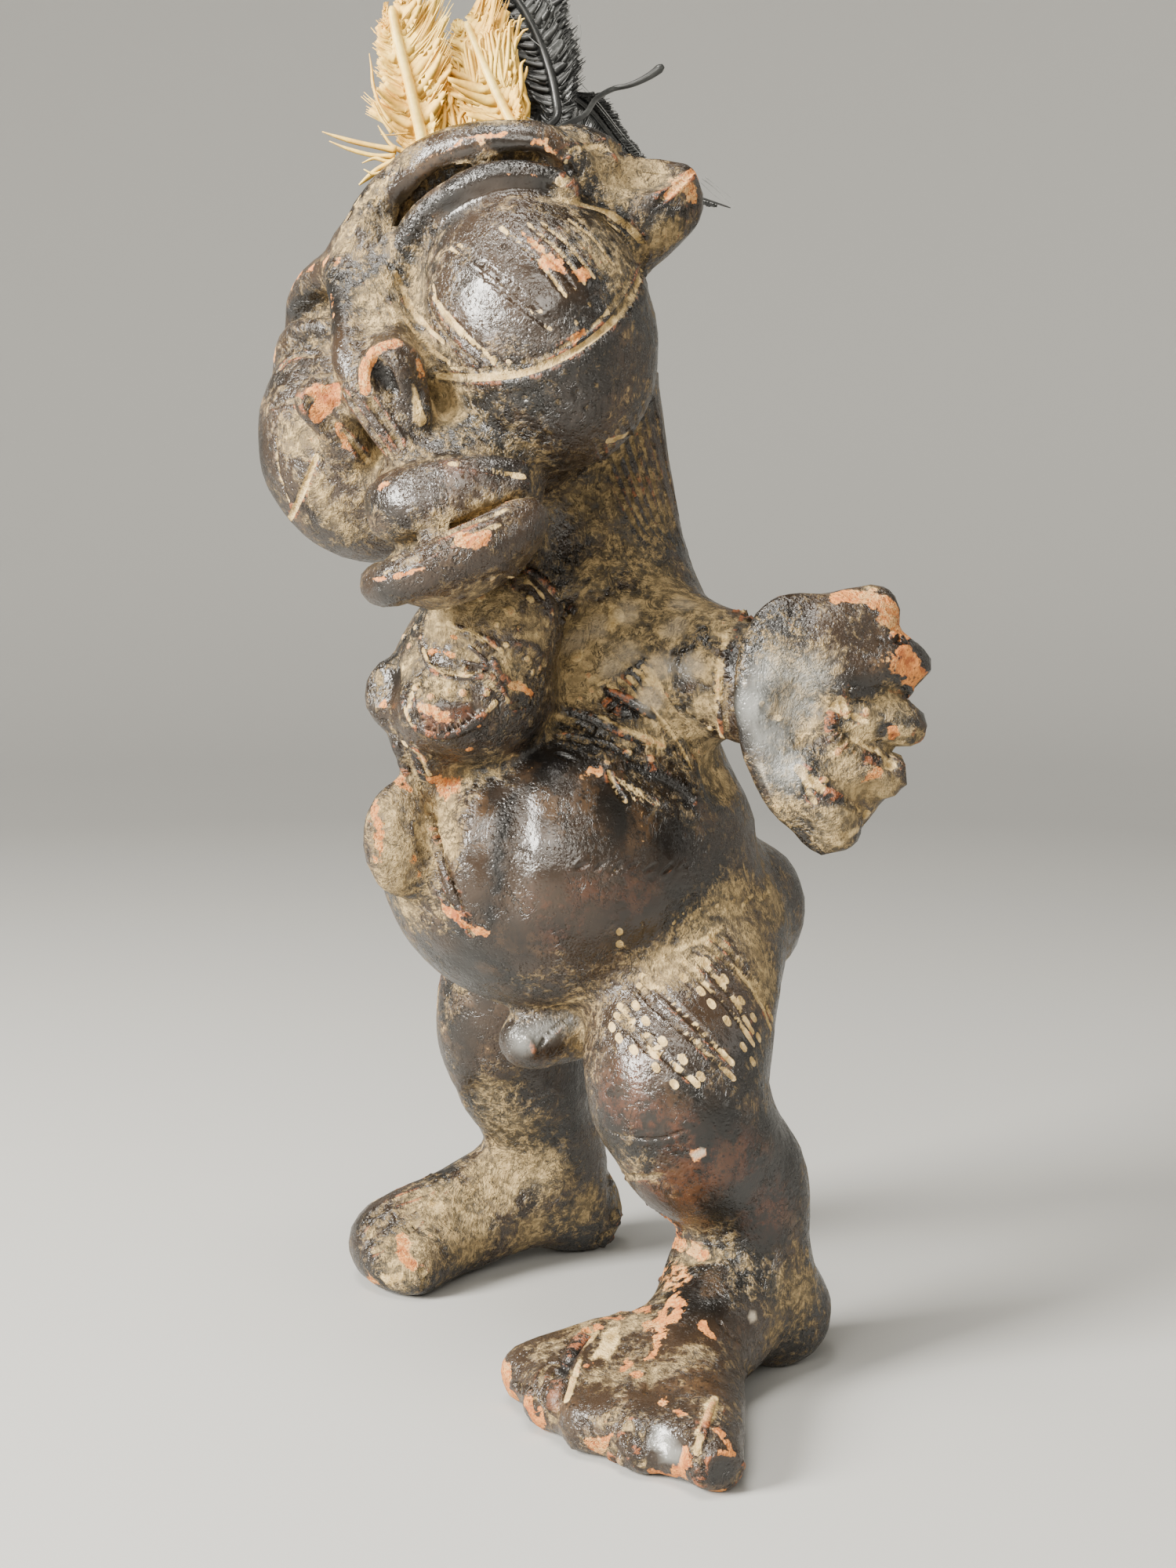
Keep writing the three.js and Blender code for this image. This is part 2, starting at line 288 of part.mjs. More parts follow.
// Thin the skin to a set number of facets: the edge whose loss moves the surface least goes first.
function thin({ pos, tri }, goal) {
  const nv = pos.length / 3, Q = new Float64Array(nv * 10), faces = tri.map((t) => t.slice()), alive = new Uint8Array(faces.length).fill(1);
  const own = Array.from({ length: nv }, () => new Set()), stamp = new Int32Array(nv), flat = new Uint8Array(nv);
  const P = (i) => [pos[3 * i], pos[3 * i + 1], pos[3 * i + 2]];
  const normal = (a, b, c) => {
    const e = [b[0] - a[0], b[1] - a[1], b[2] - a[2]], f = [c[0] - a[0], c[1] - a[1], c[2] - a[2]];
    return [e[1] * f[2] - e[2] * f[1], e[2] * f[0] - e[0] * f[2], e[0] * f[1] - e[1] * f[0]];
  };
  const put = (v, a, b, c, d, w) => {
    const q = [a * a, a * b, a * c, a * d, b * b, b * c, b * d, c * c, c * d, d * d];
    for (let i = 0; i < 10; i++) Q[10 * v + i] += w * q[i];
  };
  faces.forEach((f, i) => {
    const n = normal(P(f[0]), P(f[1]), P(f[2])), l = Math.hypot(...n) || 1e-12, p = P(f[0]);
    const a = n[0] / l, b = n[1] / l, c = n[2] / l, d = -(a * p[0] + b * p[1] + c * p[2]);
    for (const v of f) { own[v].add(i); put(v, a, b, c, d, l); }
  });
  for (let v = 0; v < nv; v++) if (Math.abs(pos[3 * v + 2] - FLOOR) < 0.02) { flat[v] = 1; put(v, 0, 0, 1, -FLOOR, 400); }
  const heap = [];
  const up = (e) => { heap.push(e); let i = heap.length - 1; while (i) { const p = (i - 1) >> 1; if (heap[p][0] <= e[0]) break; heap[i] = heap[p]; i = p; } heap[i] = e; };
  const pop = () => {
    const top = heap[0], e = heap.pop();
    if (heap.length) { let i = 0; for (;;) { let c = 2 * i + 1; if (c >= heap.length) break; if (c + 1 < heap.length && heap[c + 1][0] < heap[c][0]) c++; if (heap[c][0] >= e[0]) break; heap[i] = heap[c]; i = c; } heap[i] = e; }
    return top;
  };
  const best = (a, b) => {
    const q = []; for (let i = 0; i < 10; i++) q.push(Q[10 * a + i] + Q[10 * b + i]);
    const A = P(a), B = P(b), L = (A[0] - B[0]) ** 2 + (A[1] - B[1]) ** 2 + (A[2] - B[2]) ** 2, w = 1e-3 * (q[0] + q[4] + q[7]);
    const M = [(A[0] + B[0]) / 2, (A[1] + B[1]) / 2, (A[2] + B[2]) / 2];
    const m = [q[0] + w, q[1], q[2], q[4] + w, q[5], q[7] + w], r = [-q[3] + w * M[0], -q[6] + w * M[1], -q[8] + w * M[2]];
    const det = m[0] * (m[3] * m[5] - m[4] * m[4]) - m[1] * (m[1] * m[5] - m[4] * m[2]) + m[2] * (m[1] * m[4] - m[3] * m[2]);
    let x = M;
    if (Math.abs(det) > 1e-9) {
      x = [
        (r[0] * (m[3] * m[5] - m[4] * m[4]) - m[1] * (r[1] * m[5] - m[4] * r[2]) + m[2] * (r[1] * m[4] - m[3] * r[2])) / det,
        (m[0] * (r[1] * m[5] - m[4] * r[2]) - r[0] * (m[1] * m[5] - m[4] * m[2]) + m[2] * (m[1] * r[2] - r[1] * m[2])) / det,
        (m[0] * (m[3] * r[2] - r[1] * m[4]) - m[1] * (m[1] * r[2] - r[1] * m[2]) + r[0] * (m[1] * m[4] - m[3] * m[2])) / det];
      if (Math.hypot(x[0] - M[0], x[1] - M[1], x[2] - M[2]) > 2 * Math.sqrt(L) + 0.1) x = M;
    }
    if (flat[a] || flat[b]) x[2] = FLOOR;
    const [X, Y, Z] = x;
    const e = q[0] * X * X + 2 * q[1] * X * Y + 2 * q[2] * X * Z + 2 * q[3] * X + q[4] * Y * Y + 2 * q[5] * Y * Z + 2 * q[6] * Y + q[7] * Z * Z + 2 * q[8] * Z + q[9];
    return [Math.max(e, 0) + 1e-4 * L, x];
  };
  const offer = (a, b) => { const [e, x] = best(a, b); up([e, a, b, stamp[a] + stamp[b], x]); };
  const done = new Set();
  faces.forEach((f) => { for (let i = 0; i < 3; i++) { const a = Math.min(f[i], f[(i + 1) % 3]), b = Math.max(f[i], f[(i + 1) % 3]), k = a * nv + b; if (!done.has(k)) { done.add(k); offer(a, b); } } });
  const ring = (v) => { const s = new Set(); for (const i of own[v]) for (const u of faces[i]) if (u !== v) s.add(u); return s; };
  let left = faces.length;
  const gone = new Uint8Array(nv);
  while (left > goal && heap.length) {
    const [, a, b, st, x] = pop();
    if (gone[a] || gone[b] || stamp[a] + stamp[b] !== st) continue;
    const ra = ring(a), rb = ring(b);
    let common = 0; for (const u of ra) if (rb.has(u)) common++;
    if (!ra.has(b) || common !== 2) continue;
    let bad = false;
    for (const v of [a, b]) for (const i of own[v]) {
      const f = faces[i]; if (f.includes(a) && f.includes(b)) continue;
      const p = f.map(P), n0 = normal(...p), p1 = f.map((u) => (u === v ? x : P(u))), n1 = normal(...p1);
      const l0 = Math.hypot(...n0), l1 = Math.hypot(...n1);
      if (l1 < 1e-3 || n0[0] * n1[0] + n0[1] * n1[1] + n0[2] * n1[2] < 0.25 * l0 * l1) { bad = true; break; }
      const e = Math.max(...[0, 1, 2].map((k) => Math.hypot(...[0, 1, 2].map((c) => p1[k][c] - p1[(k + 1) % 3][c]))));
      if (l1 / (e * e) < 0.03) { bad = true; break; }
    }
    if (bad) continue;
    for (const i of [...own[b]]) {
      const f = faces[i];
      if (f.includes(a)) { alive[i] = 0; left--; for (const u of f) own[u].delete(i); } else { f[f.indexOf(b)] = a; own[a].add(i); }
    }
    gone[b] = 1; flat[a] |= flat[b]; pos[3 * a] = x[0]; pos[3 * a + 1] = x[1]; pos[3 * a + 2] = x[2];
    for (let i = 0; i < 10; i++) Q[10 * a + i] += Q[10 * b + i];
    stamp[a] += stamp[b] + 1;
    for (const u of ring(a)) offer(Math.min(a, u), Math.max(a, u));
  }
  return { pos, faces: faces.filter((_, i) => alive[i]) };
}

function solid(name, pts, faces, look) {
  const g = new THREE.BufferGeometry(), used = new Map(), out = [], idx = [];
  for (const f of faces) for (const v of f) {
    if (!used.has(v)) { used.set(v, out.length / 3); out.push(...pts(v)); }
    idx.push(used.get(v));
  }
  g.setAttribute('position', new THREE.Float32BufferAttribute(out, 3));
  g.setIndex(idx); g.computeVertexNormals();
  const mesh = new THREE.Mesh(g, new THREE.MeshStandardMaterial(look));
  mesh.name = name; mesh.position.set(...SHIFT);
  return mesh;
}

// ---------------------------------------------------------------- feathers
// rows: [x, y, z, vane width on one side, vane width on the other] from the quill's foot to the tip
const FEATHERS = [
  ['cream_feather_front', 1.9, 1.2, CREAM, [
    [-10.8, -39.3, 308.6, 0, 0], [-16.4, -41.4, 320.2, 0, 0], [-19.3, -46.4, 326.0, 2, 2], [-19.5, -47.3, 332.5, 10, 4], [-20.2, -48.8, 339.7, 9, 10], [-21.1, -50.5, 347.7, 6.5, 12.5], [-22.0, -52.2, 354.6, 5.5, 12.5], [-22.7, -53.4, 360.6, 3, 7], [-23.2, -54.2, 366.0, 1, 1.5]]],
  ['cream_feather_back', 1.5, 1.0, CREAM, [
    [7.5, -32.7, 313.2, 0, 0], [3.1, -33.9, 326.6, 0, 0], [-0.3, -29.7, 332.1, 2, 2], [-3.8, -30.5, 338.2, 8, 5], [-6.8, -32.2, 344.9, 12, 7], [-9.8, -34.0, 352.4, 9, 10], [-12.0, -35.6, 358.6, 5, 10.5], [-13.7, -36.7, 363.2, 2, 7]]],
  ['black_feather_upper', 1.5, 0.6, BLACK, [
    [-0.8, -26.2, 317.0, 0, 0], [-2.6, -25.1, 329.5, 0, 0], [-5.3, -17.4, 340.8, 7, 8], [-9.0, -14.0, 352.2, 11, 11], [-13.4, -11.5, 366.8, 13, 8], [-15.9, -8.3, 384.5, 13, 10], [-15.1, -4.4, 399.6, 10, 9], [-12.9, -0.6, 413.5, 3, 3]]],
  ['black_feather_middle', 1.5, 0.6, BLACK, [
    [5.8, -25.9, 319.9, 0, 0], [3.5, -24.8, 332.3, 0, 0], [2.1, -18.3, 338.6, 5, 3], [0.3, -17.3, 345.5, 7, 6], [-1.9, -18.1, 353.5, 8, 6.5], [-4.9, -19.9, 361.9, 8, 6.5], [-8.4, -23.0, 370.2, 6, 5], [-12.8, -26.9, 376.4, 2, 2]]],
  ['black_feather_side', 1.4, 0.5, BLACK, [
    [-8.3, -27.7, 315.6, 0, 0], [-10.3, -24.1, 328.4, 0, 0], [-15.0, -4.3, 347.6, 6, 5], [-16.0, 3.4, 350.1, 10, 5], [-14.9, 10.5, 346.6, 10, 5], [-13.4, 16.4, 340.7, 10, 3.5], [-10.7, 22.2, 334.1, 9, 3], [-5.5, 29.3, 327.3, 6, 3], [1.1, 37.9, 324.0, 3, 2], [7.1, 44.3, 321.1, 1, 1]]],
  ['black_quill', 1.0, 1.3, BLACK, [
    [9.4, -28.6, 323.4, 0, 0], [8.9, -26.1, 332.4, 0, 0], [6.2, -12.4, 339.2, 0, 0], [-1.7, -0.4, 346.4, 0, 0], [-3.9, 7.6, 350.5, 0, 0], [-0.2, 11.6, 351.8, 0, 0], [3.2, 15.2, 354.1, 0, 0], [5.9, 18.1, 356.9, 0, 0]]],
];
function feather([name, foot, tip, look, rows]) {
  const line = curve(rows, 2), pts = [], faces = [], n = line.length, side0 = new THREE.Vector3(Math.cos(rad(VANE_TURN)), Math.sin(rad(VANE_TURN)), 0);
  line.forEach((q, i) => {
    const a = line[Math.max(i - 1, 0)], b = line[Math.min(i + 1, n - 1)];
    const along = new THREE.Vector3(b[0] - a[0], b[1] - a[1], b[2] - a[2]).normalize();
    const side = side0.clone().addScaledVector(along, -side0.dot(along)).normalize(), up = new THREE.Vector3().crossVectors(along, side);
    const r = foot + (tip - foot) * i / (n - 1), w = 0.72 * r, wl = Math.max(q[3], 1.05 * r), wr = Math.max(q[4], 1.05 * r), t = Math.min(VANE, 0.4 * r);
    for (const [s, h] of [[-wl, -t], [-w, -r], [w, -r], [wr, -t], [wr, t], [w, r], [-w, r], [-wl, t]]) {
      pts.push([q[0] + side.x * s + up.x * h, q[1] + side.y * s + up.y * h, q[2] + side.z * s + up.z * h]);
    }
  });
  for (let i = 0; i + 1 < n; i++) for (let k = 0; k < 8; k++) {
    const a = 8 * i + k, b = 8 * i + (k + 1) % 8;
    faces.push([a, b, b + 8], [a, b + 8, a + 8]);
  }
  for (let k = 1; k < 7; k++) { faces.push([0, k + 1, k]); faces.push([8 * (n - 1), 8 * (n - 1) + k, 8 * (n - 1) + k + 1]); }
  return solid(name, (v) => pts[v], faces, look);
}

// ---------------------------------------------------------------- the whole object
const clay = thin(skin(), CLAY_FACES);
const fetish = new THREE.Group();
fetish.name = 'fetish_figure';
fetish.add(solid('clay_figure', (v) => [clay.pos[3 * v], clay.pos[3 * v + 1], Math.abs(clay.pos[3 * v + 2] - FLOOR) < 0.05 ? FLOOR : clay.pos[3 * v + 2]], clay.faces, CLAY));
for (const f of FEATHERS) fetish.add(feather(f));

export default fetish;
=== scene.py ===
# Looks of a standing clay figure with feathers in its crown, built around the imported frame.
# The clay is one solid form, worked out as a distance field from named masses (millimetres, +Z up),
# meshed, refined along every incised stroke, and coloured by procedural materials.
import bpy, math, time
import numpy as np
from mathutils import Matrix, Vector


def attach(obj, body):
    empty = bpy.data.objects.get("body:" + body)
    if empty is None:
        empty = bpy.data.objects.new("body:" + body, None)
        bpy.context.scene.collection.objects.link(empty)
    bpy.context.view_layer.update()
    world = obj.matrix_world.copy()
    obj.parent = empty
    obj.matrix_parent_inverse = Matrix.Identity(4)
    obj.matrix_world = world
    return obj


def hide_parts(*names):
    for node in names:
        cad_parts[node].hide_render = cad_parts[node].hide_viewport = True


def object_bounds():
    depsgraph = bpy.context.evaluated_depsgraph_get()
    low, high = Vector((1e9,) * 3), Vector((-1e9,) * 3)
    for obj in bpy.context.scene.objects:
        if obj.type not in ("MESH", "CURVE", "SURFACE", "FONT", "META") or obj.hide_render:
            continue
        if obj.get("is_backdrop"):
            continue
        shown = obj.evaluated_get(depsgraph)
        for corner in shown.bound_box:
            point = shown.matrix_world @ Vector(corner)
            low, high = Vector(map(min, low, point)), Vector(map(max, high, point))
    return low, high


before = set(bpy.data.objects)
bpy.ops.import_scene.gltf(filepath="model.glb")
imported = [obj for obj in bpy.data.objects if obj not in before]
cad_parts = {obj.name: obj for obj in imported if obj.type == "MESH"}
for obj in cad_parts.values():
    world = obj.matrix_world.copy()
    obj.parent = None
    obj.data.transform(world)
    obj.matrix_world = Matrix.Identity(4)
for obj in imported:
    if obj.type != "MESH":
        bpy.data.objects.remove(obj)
CAD_BOX = [[float(v) for v in c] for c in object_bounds()]
T0 = time.time()
f32 = np.float32

# ---------------------------------------------------------------- sizes and frames
SHIFT = np.array([-8.54, 19.43, 0.0])      # puts the middle of the footprint box on the origin
CELL = 0.95              # sampling step of the clay form
BASE_TRIS = 84000     # triangles before the strokes are refined
MAX_TRIS = 196000      # triangles of the finished clay
FINE = 0.6              # edge length wanted along a stroke
LO = np.array([-104.0, -112.0, -6.0])
HI = np.array([118.0, 74.0, 348.0])
FOCAL, CAM_TURN, CAM_PITCH, CAM_H, CAM_D, CAM_X = 2777.8, 47.0, 5.8, 220.0, 612.0, 3.6
CA, CP = math.radians(CAM_TURN), math.radians(CAM_PITCH)
CR = np.array([math.cos(CA), math.sin(CA), 0.0])
CV = np.array([-math.sin(CA), math.cos(CA), 0.0])
EYE = -CAM_X * CR - CAM_D * CV + np.array([0, 0, CAM_H])


class Frame:
    """origin, then the figure's own left, front and up as columns"""
    def __init__(s, o, yaw, roll):
        s.o = np.array(o, float)
        y, r = np.radians([yaw, roll])
        n = np.array([np.sin(y), -np.cos(y), 0]); l = np.array([np.cos(y), np.sin(y), 0]); u = np.array([0, 0, 1.0])
        l, u = np.cos(r) * l + np.sin(r) * u, -np.sin(r) * l + np.cos(r) * u
        s.M = np.stack([l, n, u], 1)
    def __call__(s, l, n, u): return s.o + s.M @ np.array([l, n, u], float)
    def inv(s, p): return (np.asarray(p) - s.o) @ s.M


ROW = Frame((0, 0, 0), 0, 0); ROW.M = np.eye(3)
HEAD = Frame((-4.7, -47.5, 264), 15.5, 25)   # turned to its left, leaning to its right


def turns(deg):
    a, b, c = [math.radians(float(t)) for t in deg]
    rx = np.array([[1, 0, 0], [0, math.cos(a), -math.sin(a)], [0, math.sin(a), math.cos(a)]])
    ry = np.array([[math.cos(b), 0, math.sin(b)], [0, 1, 0], [-math.sin(b), 0, math.cos(b)]])
    rz = np.array([[math.cos(c), -math.sin(c), 0], [math.sin(c), math.cos(c), 0], [0, 0, 1]])
    return rz @ ry @ rx


def curve(rows, n):
    """even curve through rows, all columns alike"""
    p = np.array(rows, float)
    if len(p) < 3:
        t = np.linspace(0, 1, n + 1)[:, None]
        return p[0] * (1 - t) + p[-1] * t if len(p) == 2 else p
    q = np.vstack([2 * p[0] - p[1], p, 2 * p[-1] - p[-2]])
    out = []
    for i in range(1, len(q) - 2):
        a, b, c, d = q[i - 1], q[i], q[i + 1], q[i + 2]
        for t in np.arange(n) / n:
            out.append(0.5 * ((2 * b) + (c - a) * t + (2 * a - 5 * b + 4 * c - d) * t * t + (3 * b - a - 3 * c + d) * t ** 3))
    out.append(p[-1])
    return np.array(out)


# ---------------------------------------------------------------- masses of clay
class Op:
    pass


def orb(name, at, r, turn=(0, 0, 0), k=6.0, cut=False, fr=ROW):
    o = Op(); o.kind = 'orb'; o.name = name; o.r = np.array(r, f32); o.k = k; o.cut = cut
    o.c = fr(*at).astype(f32); o.M = (fr.M @ turns(turn)).astype(f32)
    o.lo = o.c - max(r); o.hi = o.c + max(r)
    return o


def block(name, at, half, turn=(0, 0, 0), edge=1.0, k=3.0, cut=False, fr=ROW):
    o = Op(); o.kind = 'block'; o.name = name; o.h = np.array(half, f32); o.e = f32(edge); o.k = k; o.cut = cut
    o.c = fr(*at).astype(f32); o.M = (fr.M @ turns(turn)).astype(f32)
    R = float(np.linalg.norm(half)); o.lo = o.c - R; o.hi = o.c + R
    return o


def rod(name, rows, k=3.0, cut=False, fr=ROW, n=6):
    o = Op(); o.kind = 'rod'; o.name = name; o.k = k; o.cut = cut
    rows = [list(fr(*r[:3])) + [r[3]] for r in rows]
    o.q = (curve(rows, n) if len(rows) > 2 else np.array(rows, float)).astype(f32)
    o.lo = (o.q[:, :3] - o.q[:, 3:4]).min(0); o.hi = (o.q[:, :3] + o.q[:, 3:4]).max(0)
    return o


def reach(o, P):
    if o.kind == 'orb':
        q = (P - o.c) @ o.M
        k0 = np.sqrt(((q / o.r) ** 2).sum(1)); k1 = np.sqrt(((q / (o.r * o.r)) ** 2).sum(1))
        return k0 * (k0 - 1) / np.maximum(k1, 1e-6)
    if o.kind == 'block':
        q = np.abs((P - o.c) @ o.M) - (o.h - o.e)
        return np.sqrt((np.maximum(q, 0) ** 2).sum(1)) + np.minimum(q.max(1), 0) - o.e
    d = None
    for a, b in zip(o.q[:-1], o.q[1:]):
        ba = b[:3] - a[:3]; l2 = float(ba @ ba) + 1e-9
        pa = P - a[:3]; t = np.clip((pa @ ba) / f32(l2), 0, 1)
        e = np.sqrt(((pa - t[:, None] * ba) ** 2).sum(1)) - (a[3] + (b[3] - a[3]) * t)
        d = e if d is None else np.minimum(d, e)
    return d


def soft(a, b, k):
    if k <= 0:
        return np.minimum(a, b)
    h = np.maximum(k - np.abs(a - b), 0) / k
    return np.minimum(a, b) - h * h * k * 0.25


def apply_ops(P, ops, band, d):
    km = max([max(o.k, 0) for o in ops if not o.cut] + [0])
    for o in ops:
        mg = (max(o.k, 0) if o.cut else km) + band
        i = np.nonzero(((P > o.lo - mg) & (P < o.hi + mg)).all(1))[0]
        if len(i) == 0:
            continue
        e = reach(o, P[i])
        d[i] = -soft(-d[i], e, o.k) if o.cut else soft(d[i], e, o.k)
    return d


def base_field(P, band):
    d = np.full(len(P), 1e3, f32)
    for name, k, ops in BODY:
        lo = np.min([o.lo for o in ops if not o.cut], 0); hi = np.max([o.hi for o in ops if not o.cut], 0)
        i = np.nonzero(((P > lo - k - band) & (P < hi + k + band)).all(1))[0]
        if len(i) == 0:
            continue
        e = apply_ops(P[i], ops, band, np.full(len(i), 1e3, f32))
        d[i] = soft(d[i], e, k)
    d = apply_ops(P, CUTS, band, d)
    return np.maximum(d, -P[:, 2])


